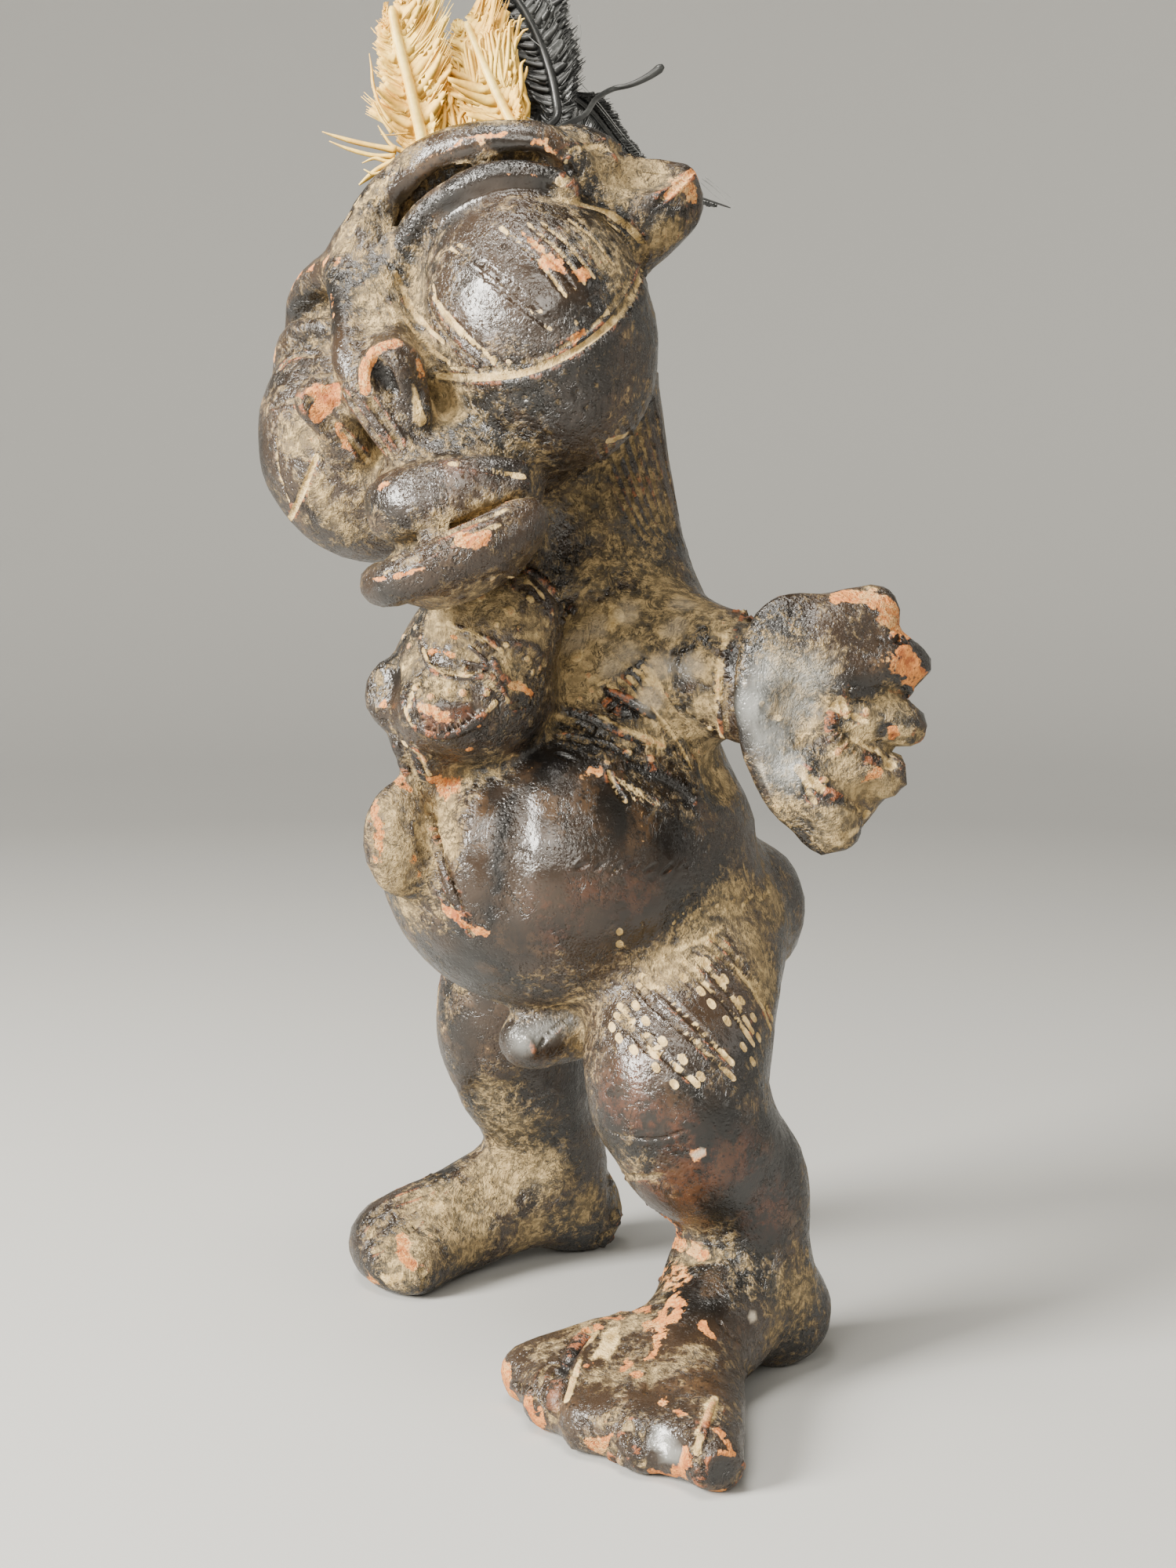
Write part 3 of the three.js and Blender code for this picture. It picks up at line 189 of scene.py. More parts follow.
BODY = [
    ('torso', 0, [
        orb('belly', (0, -17, 139), (49, 49, 43), (0, 0, 0), 0),
        orb('waist_back', (2, 4, 142), (42, 32, 34), (0, 0, 0), 16),
        orb('chest', (2, -3, 184), (35, 25, 30), (0, 0, 0), 18),
        orb('shoulder_yoke', (2, 4, 198), (36, 19, 16), (0, 0, 0), 12),
        orb('pelvis', (0, 12, 114), (40, 29, 24), (0, 0, 0), 12),
        orb('buttock_l', (22, 31, 121), (20, 22, 22), (0, 0, 0), 8),
        orb('buttock_r', (-23, 31, 121), (20, 22, 22), (0, 0, 0), 8),
    ]),
    ('neck', 12, [
        rod('neck', [(1, 6, 202, 25), (0, 4, 225, 20.5), (-1, 0, 250, 19.5), (-2, -8, 282, 22)], 0),
    ]),
    ('head', 7, [
        orb('skull', (0, -20, 13), (46, 36, 42), (0, 0, 0), 0, fr=HEAD),
        orb('crown', (10, -10, 27), (34, 28, 28), (0, 0, 0), 10, fr=HEAD),
        orb('brow_mass_l', (28, 0, 25), (30, 24, 26), (0, 0, 0), 8, fr=HEAD),
        orb('brow_mass_r', (-24, -2, 18), (28, 24, 25), (0, 0, 0), 8, fr=HEAD),
        orb('bulb_l', (34.5, 8, 0.5), (29, 29, 37), (0, 0, 0), 4, fr=HEAD),
        orb('bulb_r', (-28, 10, -1.5), (26.5, 27, 32), (0, 0, 0), 4, fr=HEAD),
        orb('muzzle', (2, 20, -30), (21, 22, 20), (0, 0, 0), 7, fr=HEAD),
        block('nose_wedge', (-0.5, 24.5, 10.2), (11.5, 11.5, 16.8), (15.4, -17, 42.3), 2.5, 5, fr=HEAD),
        orb('nose_root', (2, 18, 37), (12, 12, 12), (0, 0, 0), 7, fr=HEAD),
        orb('nose_tip', (0, 37, -1), (12, 8, 7), (0, 0, 0), 4, fr=HEAD),
        orb('nostril_l', (8.6, 40, -0.6), (7.5, 8, 8), (0, 0, 0), 2.5, fr=HEAD),
        orb('nostril_r', (-13.3, 40, 2.3), (7.5, 8, 7.5), (0, 0, 0), 2.5, fr=HEAD),
        rod('wing_l', [(8.3, 38, -5.7, 5.2), (6.6, 34, -11.8, 5.4)], 2.5, fr=HEAD),
        rod('wing_r', [(-14.2, 38, -2.2, 5.5), (-15.5, 33, -8.5, 5.5)], 2.5, fr=HEAD),
        rod('septum', [(0, 43, -2, 4.5), (1, 40, -12, 5), (3, 36, -20, 5)], 4, fr=HEAD),
        rod('upper_lip', [(-12, 32, -27, 4), (-8, 38, -28.5, 6), (-1, 42, -30.5, 7.5), (9, 40, -32.5, 7.5), (19, 35.5, -34, 5.5), (27, 31, -36, 2.5)], 3, fr=HEAD),
        rod('lower_lip', [(-13, 36, -46, 4.5), (-13, 45, -48, 5.5), (-8, 50.5, -50.5, 6), (1, 51, -52, 6.5), (10, 47, -52, 6.5), (18, 41, -51.5, 6.5), (24, 33, -48, 6)], 4, fr=HEAD),
        rod('lip_floor', [(-6, 32, -48, 10), (6, 38, -50, 11), (16, 32, -48, 10)], 5, fr=HEAD),
        rod('mouth_slot', [(-14, 40, -36, 1.5), (-8, 46, -37, 2.8), (2, 50, -39, 3.6), (12, 46, -40, 3.8), (21, 39, -39.5, 3), (29, 31, -38.5, 1.2)], 1.5, cut=True, fr=HEAD),
        rod('upper_lip_face', [(-12, 34, -31, 4), (-8, 40, -33.5, 5.2), (0, 43.5, -35.5, 6), (9, 41.5, -37, 6), (18, 36.5, -38.5, 4.8), (26, 31.5, -39.5, 2.6)], 2.5, fr=HEAD),
        rod('brow_bed_l', [(8.2, 14, 43.1, 9), (15.8, 9, 49.9, 10), (27.5, 6, 50.5, 10), (39.9, 3, 47.2, 9), (48.9, -3, 41.8, 8)], 5, fr=HEAD),
        rod('brow_l', [(4.4, 25, 40.5, 5), (14.3, 20, 47.8, 6), (28.4, 17, 50.3, 6.5), (41.5, 14, 47.4, 6.5), (52.4, 9, 42.3, 6), (57.6, 3, 35.9, 5), (59.9, -3, 27.6, 3.5)], 3, fr=HEAD),
        rod('brow_groove_l', [(10.9, 20.3, 34.5, 2.4), (13.7, 18.6, 39.6, 3.2), (19.9, 16.3, 44.5, 3.6), (30.1, 15.4, 45.5, 3.8), (40.7, 13.4, 44.3, 3.6), (49.5, 11, 39.5, 3), (54.8, 9.7, 32.1, 2)], 2, cut=True, fr=HEAD),
        rod('lid_l', [(9.3, 22.9, 27.9, 2.8), (15.6, 23.4, 33.2, 3.4), (25, 23.6, 36.5, 3.8), (37.3, 22.8, 36.7, 4), (47.9, 19.1, 34.5, 4), (55.4, 13.8, 30.1, 3.4), (58.9, 10.1, 25.6, 2.4)], 2.5, fr=HEAD),
        rod('brow_r', [(-6, 24, 37, 4.5), (-13, 20, 40, 5), (-21, 16, 40.5, 5), (-30, 10, 39, 5), (-40, 0, 33, 4)], 4, fr=HEAD),
        rod('lid_r', [(-11, 26, 21, 3), (-16, 25, 26, 3.6), (-26, 22, 29, 4), (-37, 15, 28, 3.6), (-45, 6, 22, 2.6)], 2.5, fr=HEAD),
        rod('brow_groove_r', [(-11, 26, 29, 2.2), (-19, 22, 33.5, 2.8), (-29, 17, 34, 2.8), (-39, 9, 31, 2)], 2, cut=True, fr=HEAD),
        rod('ear_l', [(44, -15, 21, 15), (58, -16, 21.5, 13.6), (65, -17, 21.5, 11.6)], 5, fr=HEAD),
        rod('ear_r', [(-46, -16, 22, 16), (-62, -17, 21, 13.5)], 5, fr=HEAD),
        rod('brow_to_ear', [(54.5, -6.7, 40.8, 8), (59.7, -11.2, 34.9, 7.6), (63.9, -15.1, 29, 7.4), (70.2, -17.3, 24.6, 7.4), (69.8, -19.4, 21.6, 7.2)], 4, fr=HEAD),
    ]),
    ('arm_l', 7, [
        rod('arm_l', [(20, 2, 193, 19), (38, 3, 191, 18.5), (54, 4, 187, 16), (66, 5, 183, 14)], 0),
    ]),
    ('hand_l', 3, [
        orb('palm', (80.4, -1.8, 180.3), (20.5, 7.5, 33), (0, -14, 61), 0),
        rod('thumb', [(80, -2.2, 197.8, 9), (84.7, 5.8, 205.1, 8.5), (88.4, 11.2, 207.3, 7.5)], 5),
        rod('finger_2', [(84.8, 3, 191.5, 9), (90.3, 11.7, 195.4, 8.5), (93.5, 18.1, 193.7, 7)], 3.5),
        rod('finger_3', [(83.5, 1.6, 180.9, 6.5), (90.4, 10.4, 180.5, 6.8), (95.2, 17, 178.8, 5.8)], 2.5),
        rod('finger_4', [(82.9, -0.6, 174, 6.5), (87.7, 6.1, 168.9, 7), (91.9, 12, 165.8, 6)], 2.5),
        rod('finger_5', [(80.2, -4.9, 167.1, 7), (83.9, -0.9, 157.7, 7.5), (85.8, 2.5, 153, 6.5)], 2.5),
    ]),
    ('fist', 4, [
        rod('arm_r', [(-22, 0, 192, 18), (-14, -22, 192, 16), (0, -38, 190, 17)], 0),
        orb('fist_mid', (6, -52.2, 188.8), (23, 21, 23), (0, 0, 0), 8),
        orb('fist_dome', (11.2, -49.5, 203.3), (19, 19, 15), (0, 0, 0), 6),
        orb('fist_low', (9.3, -60.4, 182.1), (16, 17, 13), (0, 0, 0), 4),
        orb('fist_knob', (-6.8, -68.8, 185.8), (6, 8, 9.5), (0, 0, 0), 3),
        rod('fist_finger_1', [(-3.5, -68.3, 181.9, 5), (-2.2, -66.8, 173.6, 5), (-3.8, -62.7, 166.5, 4.5)], 2.5),
        rod('fist_finger_2', [(3.5, -66.6, 175, 5), (3.3, -63.9, 169.7, 5), (1.5, -59.9, 165.2, 4.5)], 2.5),
    ]),
    ('leg_l', 7, [
        rod('thigh_l', [(26, 8, 116, 28), (37, -5, 99, 26), (45, -14, 82, 24.5), (49, -12, 68, 21.5)], 0),
        rod('shin_l', [(49, -6, 64, 20), (50, 4, 52, 19.5), (51, 6, 38, 17.5), (51, 6, 26, 18)], 5),
    ]),
    ('leg_r', 7, [
        rod('thigh_r', [(-24, 10, 116, 27), (-36, 2, 98, 23), (-42, -1, 82, 20), (-45, 8, 66, 19)], 0),
        rod('shin_r', [(-46, 12, 62, 19), (-50, 22, 48, 18.5), (-54, 30, 34, 17), (-58, 38, 20, 15.5)], 6),
    ]),
    ('foot_l', 6, [
        rod('foot_l_heel', [(51.5, 17, 15, 16.5), (50, 4, 22, 18), (53, -14, 15, 15)], 0),
        rod('foot_l_toe_1', [(46.1, -26, 12, 10.8), (37.8, -40.4, 10.5, 9.8), (30, -54, 8.5, 8)], 4),
        rod('foot_l_toe_2', [(50.9, -27.8, 12, 10.8), (48.4, -44.4, 9.5, 9.8), (46, -60, 7.5, 8)], 4),
        rod('foot_l_toe_3', [(56, -28.7, 12, 10.8), (59.6, -46.3, 9.2, 9.8), (63, -63, 7.2, 8)], 4),
        rod('foot_l_toe_4', [(61.4, -28.1, 12, 10.8), (71.5, -45, 9.5, 9.8), (81, -61, 7.5, 8)], 4),
        rod('foot_l_toe_5', [(66.8, -26.9, 12, 10.8), (83.4, -42.4, 10, 9.8), (99, -57, 8, 8)], 4),
        rod('foot_l_web_0', [(44, -34, 11.4, 10), (39, -55, 8.4, 7.8)], 3.5),
        rod('foot_l_web_1', [(53, -38, 11, 10), (54.5, -60, 8.2, 8)], 3.5),
        rod('foot_l_web_2', [(63, -38, 11, 10), (71.5, -60.5, 8.2, 8)], 3.5),
        rod('foot_l_web_3', [(73, -36, 11, 10), (89.5, -57.5, 8.2, 8)], 3.5),
        rod('foot_l_instep', [(50, 2, 24, 15), (57, -14, 17, 14), (62, -30, 12, 11.5)], 8),
    ]),
    ('foot_r', 6, [
        rod('foot_r_heel', [(-58, 46, 12.4, 13.5), (-61, 26, 19, 15), (-66, 4, 13.6, 13.5)], 0),
        rod('foot_r_toe_1', [(-63.3, -4.1, 10.9, 9.7), (-60.1, -13.8, 10.3, 9.8), (-57, -23, 8.3, 8)], 4),
        rod('foot_r_toe_2', [(-65.4, -4.7, 10.9, 9.7), (-64.7, -15.1, 10.4, 9.8), (-64, -25, 8.4, 8)], 4),
        rod('foot_r_toe_3', [(-67.5, -4.4, 10.9, 9.7), (-69.3, -14.5, 11, 9.8), (-71, -24, 9, 8)], 4),
        rod('foot_r_toe_4', [(-69.3, -3.5, 10.9, 9.7), (-73.3, -12.5, 11.8, 9.8), (-77, -21, 9.8, 8)], 4),
        rod('foot_r_toe_5', [(-70.8, -2.3, 10.9, 9.7), (-76.6, -9.9, 12.4, 9.8), (-82, -17, 10.4, 8)], 4),
        rod('foot_r_instep', [(-57, 20, 28.5, 14.5), (-64, 3, 21.5, 13.5), (-71, -9, 17, 12), (-76, -18, 14, 10.5)], 7),
    ]),
    ('sex', 3, [
        rod('member', [(8.5, -17.3, 94.1, 11), (7.8, -26.9, 92.8, 10.5), (7.2, -33.3, 90.8, 8.5)], 0),
    ]),
    ('navel', 5, [
        orb('navel', (-3.7, -68.5, 147.8), (9, 11, 15.5), (0, 0, 0), 0),
    ]),
]
CUTS = [orb('crown_hollow', (26, -12, 50), (19, 12, 22), (0, 0, 0), 1.5, cut=True, fr=HEAD)]
FEATHERS = [
    ('cream_feather_front', 1.9, 1.2, 'cream', [
        (-10.8, -39.3, 308.6, 0, 0), (-16.4, -41.4, 320.2, 0, 0), (-19.3, -46.4, 326.0, 2, 2), (-19.5, -47.3, 332.5, 10, 4), (-20.2, -48.8, 339.7, 9, 10), (-21.1, -50.5, 347.7, 6.5, 12.5), (-22.0, -52.2, 354.6, 5.5, 12.5), (-22.7, -53.4, 360.6, 3, 7), (-23.2, -54.2, 366.0, 1, 1.5)]),
    ('cream_feather_back', 1.5, 1.0, 'cream', [
        (7.5, -32.7, 313.2, 0, 0), (3.1, -33.9, 326.6, 0, 0), (-0.3, -29.7, 332.1, 2, 2), (-3.8, -30.5, 338.2, 8, 5), (-6.8, -32.2, 344.9, 12, 7), (-9.8, -34.0, 352.4, 9, 10), (-12.0, -35.6, 358.6, 5, 10.5), (-13.7, -36.7, 363.2, 2, 7)]),
    ('black_feather_upper', 1.5, 0.6, 'black', [
        (-0.8, -26.2, 317.0, 0, 0), (-2.6, -25.1, 329.5, 0, 0), (-5.3, -17.4, 340.8, 7, 8), (-9.0, -14.0, 352.2, 11, 11), (-13.4, -11.5, 366.8, 13, 8), (-15.9, -8.3, 384.5, 13, 10), (-15.1, -4.4, 399.6, 10, 9), (-12.9, -0.6, 413.5, 3, 3)]),
    ('black_feather_middle', 1.5, 0.6, 'black', [
        (5.8, -25.9, 319.9, 0, 0), (3.5, -24.8, 332.3, 0, 0), (2.1, -18.3, 338.6, 5, 3), (0.3, -17.3, 345.5, 7, 6), (-1.9, -18.1, 353.5, 8, 6.5), (-4.9, -19.9, 361.9, 8, 6.5), (-8.4, -23.0, 370.2, 6, 5), (-12.8, -26.9, 376.4, 2, 2)]),
    ('black_feather_side', 1.4, 0.5, 'black', [
        (-8.3, -27.7, 315.6, 0, 0), (-10.3, -24.1, 328.4, 0, 0), (-15.0, -4.3, 347.6, 6, 5), (-16.0, 3.4, 350.1, 10, 5), (-14.9, 10.5, 346.6, 10, 5), (-13.4, 16.4, 340.7, 10, 3.5), (-10.7, 22.2, 334.1, 9, 3), (-5.5, 29.3, 327.3, 6, 3), (1.1, 37.9, 324.0, 3, 2), (7.1, 44.3, 321.1, 1, 1)]),
    ('black_quill', 1.0, 1.3, 'black', [
        (9.4, -28.6, 323.4, 0, 0), (8.9, -26.1, 332.4, 0, 0), (6.2, -12.4, 339.2, 0, 0), (-1.7, -0.4, 346.4, 0, 0), (-3.9, 7.6, 350.5, 0, 0), (-0.2, 11.6, 351.8, 0, 0), (3.2, 15.2, 354.1, 0, 0), (5.9, 18.1, 356.9, 0, 0)]),
]


def part_of(name):
    return [g for g in BODY if g[0] == name][0][2]


def slab(name, at, n, depth, half, k=1.5):
    """a flat slice: everything beyond a plane lying depth below the point at, facing n"""
    n = np.array(n, float); n /= np.linalg.norm(n)
    a = np.cross(n, [0.0, 0.0, 1.0]); a /= np.linalg.norm(a); b = np.cross(n, a)
    o = Op(); o.kind = 'block'; o.name = name; o.h = np.array([half, half, half], f32); o.e = f32(0.5); o.k = k; o.cut = True
    o.c = (np.array(at, float) + n * (half - depth)).astype(f32); o.M = np.stack([a, b, n], 1).astype(f32)
    R = half * 1.75; o.lo = o.c - R; o.hi = o.c + R
    return o


def px(u, v, D):
    """the point of the row frame behind a view position at depth D from the origin"""
    a = (u - 750) / FOCAL; b = (1000 - v) / FOCAL; DD = D + CAM_D
    h = DD * math.tan(math.atan(b) - CP); zc = DD * math.cos(CP) - h * math.sin(CP)
    return (a * zc - CAM_X) * CR + D * CV + np.array([0, 0, h + CAM_H])



head = part_of('head')
# the lips are two thick slabs with a narrow slot between
head.append(rod('mouth_slit', [(-16, 39, -40.5, 1.4), (-8, 47, -41.6, 1.9), (2, 50, -43.6, 2.1), (12, 46, -44.8, 2.1), (21, 39, -44.6, 1.9), (29, 31, -42.6, 1.3)], 0.8, cut=True, fr=HEAD))
head.append(rod('mouth_slit_deep', [(-10, 40, -40.8, 1.5), (2, 44, -43, 1.8), (14, 40, -44.2, 1.8), (23, 33, -43.4, 1.4)], 0.8, cut=True, fr=HEAD))
# the ridge down the front of the nose
head.append(rod('nose_ridge', [(-1.2, 29, 33, 4.6), (-0.8, 35.5, 20, 4.4), (-0.4, 42.5, 7, 4.4)], 5, fr=HEAD))
head.append(rod('nose_side', [(6, 27, 27, 4), (8, 32, 14, 4), (9, 36, 6, 4)], 7, fr=HEAD))
# open nostrils
head.append(rod('nostril_hole_l', [(10.4, 48.8, -0.6, 3.3), (9.2, 45.6, -3.8, 3.0), (8.6, 42.6, -6.6, 1.8)], 1.2, cut=True, fr=HEAD))
head.append(rod('nostril_hole_r', [(-11.8, 48.4, -0.6, 3.0), (-12.2, 45.5, -4.6, 3.1), (-12.8, 42, -9.5, 2.3)], 1.0, cut=True, fr=HEAD))
head.append(orb('nostril_lobe', px(530, 526, -67.4), (3.2, 3.4, 6.6), (0, 0, 0), 1.5))
# the ear's flat sloping end
head.append(slab('ear_flat', px(853, 221, -48), (0.42, -0.50, 0.76), 1.3, 12.5, 1.0))

foot = part_of('foot_r')
foot.append(block('foot_r_front', (-70.5, -17, 10.4), (10, 5.5, 8.6), (0, 0, 20), 4.0, 4))

# the palm is a shallow bowl with a sharp rim
hand = part_of('hand_l')
RIM = [(1054, 781), (1030, 788), (1011, 796), (987, 812), (968, 836), (952, 861), (945, 880), (948, 904), (956, 930), (967, 968), (978, 1000), (991, 1022), (1006, 1046), (1022, 1070), (1042, 1084)]
hand.insert(1, rod('palm_rim', [(*px(u + 8, v, -63), 2.0) for u, v in RIM], 1.3))
PALM_N = np.array([0.875, -0.485, 0.0])
hand.insert(2, orb('palm_bowl', px(1040, 915, -67.0) + PALM_N * 41.4, (45, 45, 50), (0, 0, 0), 1.5, cut=True))
# the belly falls away beside the broad strap
part_of('torso').append(rod('strap_valley', [(28.5, -54.5, 166.4, 7.5), (31.4, -59.4, 156.2, 9), (32.2, -62.2, 147.0, 9), (31.8, -63.3, 137.3, 9), (29.1, -63.3, 127.3, 8)], 1.0, cut=True))

# the neck is a little fuller on its hidden side
part_of('neck').append(rod('neck_edge', [(*px(676, 676, 6), 6.0), (*px(672, 706, 6), 6.0), (*px(670, 736, 5), 6.5), (*px(672, 770, 4), 7.0)], 5))



# ---------------------------------------------------------------- the form sampled on a grid
def volume(h):
    n = [int(np.ceil((HI[i] - LO[i]) / h / 8)) * 8 for i in range(3)]
    nb = [m // 8 for m in n]
    c = [LO[i] + (np.arange(nb[i]) + 0.5) * 8 * h - 0.5 * h for i in range(3)]
    G = np.stack(np.meshgrid(*c, indexing='ij'), -1).reshape(-1, 3).astype(f32)
    rad = 8 * h * 0.5 * 1.7321
    dc = base_field(G, rad * 1.7 + 4)
    act = np.nonzero(np.abs(dc) < rad * 1.25 + 2.5)[0]
    vol = np.empty(n, f32)
    v6 = vol.reshape(nb[0], 8, nb[1], 8, nb[2], 8)
    v6[:] = dc.reshape(nb)[:, None, :, None, :, None]
    bi = np.stack(np.unravel_index(act, nb), 1)
    off = (np.stack(np.meshgrid(*[np.arange(8)] * 3, indexing='ij'), -1).reshape(-1, 3) * h).astype(f32)
    for s in range(0, len(act), 4096):
        b = bi[s:s + 4096]
        P = ((LO + b * 8 * h).astype(f32)[:, None, :] + off[None]).reshape(-1, 3)
        v6[b[:, 0], :, b[:, 1], :, b[:, 2], :] = base_field(P, 3 * h + 1).reshape(-1, 8, 8, 8)
    return vol


VOL = volume(CELL)
print('volume', VOL.shape, round(time.time() - T0, 1))


def sample(P):
    q = (np.asarray(P, float) - LO) / CELL
    q = np.clip(q, 0, np.array(VOL.shape) - 1.001)
    i = q.astype(int); t = q - i
    r = 0
    for a in (0, 1):
        for b in (0, 1):
            for c in (0, 1):
                w = (t[:, 0] if a else 1 - t[:, 0]) * (t[:, 1] if b else 1 - t[:, 1]) * (t[:, 2] if c else 1 - t[:, 2])
                r = r + w * VOL[i[:, 0] + a, i[:, 1] + b, i[:, 2] + c]
    return r


def slope(P, e=0.8):
    g = np.stack([sample(P + d) - sample(P - d) for d in np.eye(3) * e], 1)
    return g / np.maximum(np.linalg.norm(g, axis=1, keepdims=True), 1e-9)


def cast(O, D, far=420.0):
    """first meeting of each ray with the form; a ray that misses takes its closest pass"""
    t = np.zeros(len(O)); best = np.full(len(O), 1e9); tb = t.copy(); done = np.zeros(len(O), bool)
    for _ in range(160):
        d = sample(O + D * t[:, None])
        m = d < best
        best[m & ~done] = d[m & ~done]; tb[m & ~done] = t[m & ~done]
        done |= d < 0.02
        t = np.where(done | (t > far), t, t + np.clip(d * 0.75, 0.12, 6.0))
    p = O + D * tb[:, None]
    n = slope(p)
    for _ in range(2):
        p = p - n * sample(p)[:, None]
    return p, slope(p)


def seen(pix):
    """points of the surface under positions of the 1500 x 2000 view"""
    pix = np.asarray(pix, float)
    a = (pix[:, 0] - 750) / FOCAL; b = (1000 - pix[:, 1]) / FOCAL
    hz = np.tan(np.arctan(b) - CP)
    zc = np.cos(CP) - hz * np.sin(CP)
    D = a[:, None] * zc[:, None] * CR + CV + hz[:, None] * np.array([0, 0, 1.0])
    D /= np.linalg.norm(D, axis=1, keepdims=True)
    O = EYE + D * 430.0
    return cast(O, D)


def facing(az, el, pts):
    """points of the surface seen squarely from a side: az turns about z from the front, pts are (right, up) millimetres"""
    a, e = math.radians(az), math.radians(el)
    back = np.array([math.sin(a) * math.cos(e), -math.cos(a) * math.cos(e), math.sin(e)])
    right = np.array([math.cos(a), math.sin(a), 0]); up = np.cross(back, right)
    pts = np.asarray(pts, float)
    O = pts[:, :1] * right + pts[:, 1:2] * up + back * 260
    return cast(O, np.repeat(-back[None], len(O), 0), 520)


# ---------------------------------------------------------------- strokes, dots and chips in the skin
DETAIL, PAINT = [], []


def raw_rod(q, k, cut):
    o = Op(); o.kind = 'rod'; o.name = 's'; o.k = k; o.cut = cut; o.q = q.astype(f32)
    o.lo = (o.q[:, :3] - o.q[:, 3:4]).min(0); o.hi = (o.q[:, :3] + o.q[:, 3:4]).max(0)
    return o


def trace(pix, step=5.0, how=seen):
    """an even run of surface points along a curve of view positions; columns after the second are carried along"""
    c = curve([list(p) for p in pix], 8)
    s = np.concatenate([[0], np.cumsum(np.linalg.norm(np.diff(c[:, :2], axis=0), axis=1))])
    n = max(2, int(s[-1] / step) + 1)
    c = np.stack([np.interp(np.linspace(0, s[-1], n), s, c[:, i]) for i in range(c.shape[1])], 1)
    p, m = how(c[:, :2])
    keep = np.ones(len(p), bool)
    return p[keep], m[keep], c[:, 2:]


def taper(n, ends):
    t = np.linspace(0, 1, n); a, b = ends
    w = np.ones(n)
    if a > 0: w = np.minimum(w, np.sqrt(np.clip(t / a, 0, 1)) * 0.85 + 0.15)
    if b > 0: w = np.minimum(w, np.sqrt(np.clip((1 - t) / b, 0, 1)) * 0.85 + 0.15)
    return w


def paint(channel, p, width, strength=1.0, soften=0.35):
    PAINT.append((channel, np.asarray(p, float), float(width), float(strength), float(soften)))


def groove(pix, r=0.8, depth=0.6, fill=0.9, berm=0.12, k=0.35, ends=(0.15, 0.15), how=seen, step=5.0, width=None, channel='earth'):
    p, m, _ = trace(pix, step, how)
    w = taper(len(p), ends)
    if berm > 0:
        R = r * 2.1
        DETAIL.append(raw_rod(np.column_stack([p + m * (berm * w - R)[:, None], np.full(len(p), R)]), 0.9, False))
    rr = r * (0.5 + 0.5 * w)
    DETAIL.append(raw_rod(np.column_stack([p + m * (rr - depth * w)[:, None], rr]), k, True))
    if fill > 0:
        paint(channel, p - m * depth * 0.4, (width or r * 0.95), fill)
    return p, m


def ridge(pix, r=1.2, lift=0.6, k=1.2, ends=(0.2, 0.2), how=seen, step=5.0, wear=0.0, width=None):
    p, m, _ = trace(pix, step, how)
    w = taper(len(p), ends)
    DETAIL.append(raw_rod(np.column_stack([p + m * (lift * w - r)[:, None], np.full(len(p), r)]), k, False))
    if wear > 0:
        paint('shine', p + m * lift, width or r * 1.2, wear, 1.0)
    return p, m


def dots(pix, r=0.9, depth=0.5, fill=0.9, raised=False, k=0.4, how=seen, channel='earth', width=None):
    p, m = how(np.asarray(pix, float)[:, :2])
    for i in range(len(p)):
        o = Op(); o.kind = 'orb'; o.name = 'd'; o.k = k; o.cut = not raised; o.M = np.eye(3, dtype=f32)
        R = np.full(3, r, f32); o.r = R
        o.c = (p[i] + m[i] * ((depth - r) if raised else (r - depth))).astype(f32)
        o.lo = o.c - r; o.hi = o.c + r
        DETAIL.append(o)
        if fill > 0:
            paint(channel, p[i:i + 1], width or r * 0.85, fill)


def flat(pix, size, depth, lean=(0, 0, 0), k=0.8, paint_as=None, strength=1.0, how=seen, width=None):
    """a nearly flat slice off the surface: a broken or pressed facet about size across"""
    p, m = how(np.array([pix], float))
    n = m[0] + np.array(lean, float); n /= np.linalg.norm(n)
    R = (size * size / 4 + depth * depth) / (2 * depth)
    R = max(R, size * 0.7)
    o = Op(); o.kind = 'orb'; o.name = 'f'; o.k = k; o.cut = True; o.M = np.eye(3, dtype=f32); o.r = np.full(3, R, f32)
    o.c = (p[0] + n * (R - depth)).astype(f32); o.lo = o.c - R; o.hi = o.c + R
    DETAIL.append(o)
    if paint_as:
        paint(paint_as, p, width or size * 0.5, strength, 1.5)


def patch(channel, pix, width, strength=1.0, soften=1.5, how=seen):
    p, m = how(np.asarray(pix, float))
    paint(channel, p, width, strength, soften)


def crop(x0, y0, s):
    """positions given on an enlarged part of the view"""
    return lambda *p: [(x0 + x / s, y0 + y / s) for x, y in p]


def pits(pts, r=1.25, depth=0.6, long=(9, 14), fill=0.95, width=1.0):
    """short oval pits filled with pale earth"""
    for u, v in pts:
        groove([(u - long[0] / 5, v - long[1] / 5), (u, v), (u + long[0] / 5, v + long[1] / 5)], r, depth, fill, berm=0.25, k=0.3, ends=(0.3, 0.3), width=width)


# ---------------------------------------------------------------- the head
# double line round the bulging left eye
groove([(560, 480), (610, 482), (660, 477), (705, 462), (747, 439), (780, 411), (804, 382), (819, 345), (822, 322), (810, 298), (772, 270), (716, 254)], 1.0, 0.8, berm=0.25, ends=(0.05, 0.1))
groove([(575, 470), (620, 473), (660, 466), (700, 452), (738, 430), (770, 403), (794, 374), (809, 342), (812, 322), (803, 304), (776, 284)], 0.6, 0.5, fill=0.6, berm=0.15)
ridge([(610, 492), (665, 487), (712, 472), (756, 448), (792, 418), (817, 385), (830, 345)], 1.6, 0.5, k=1.6)
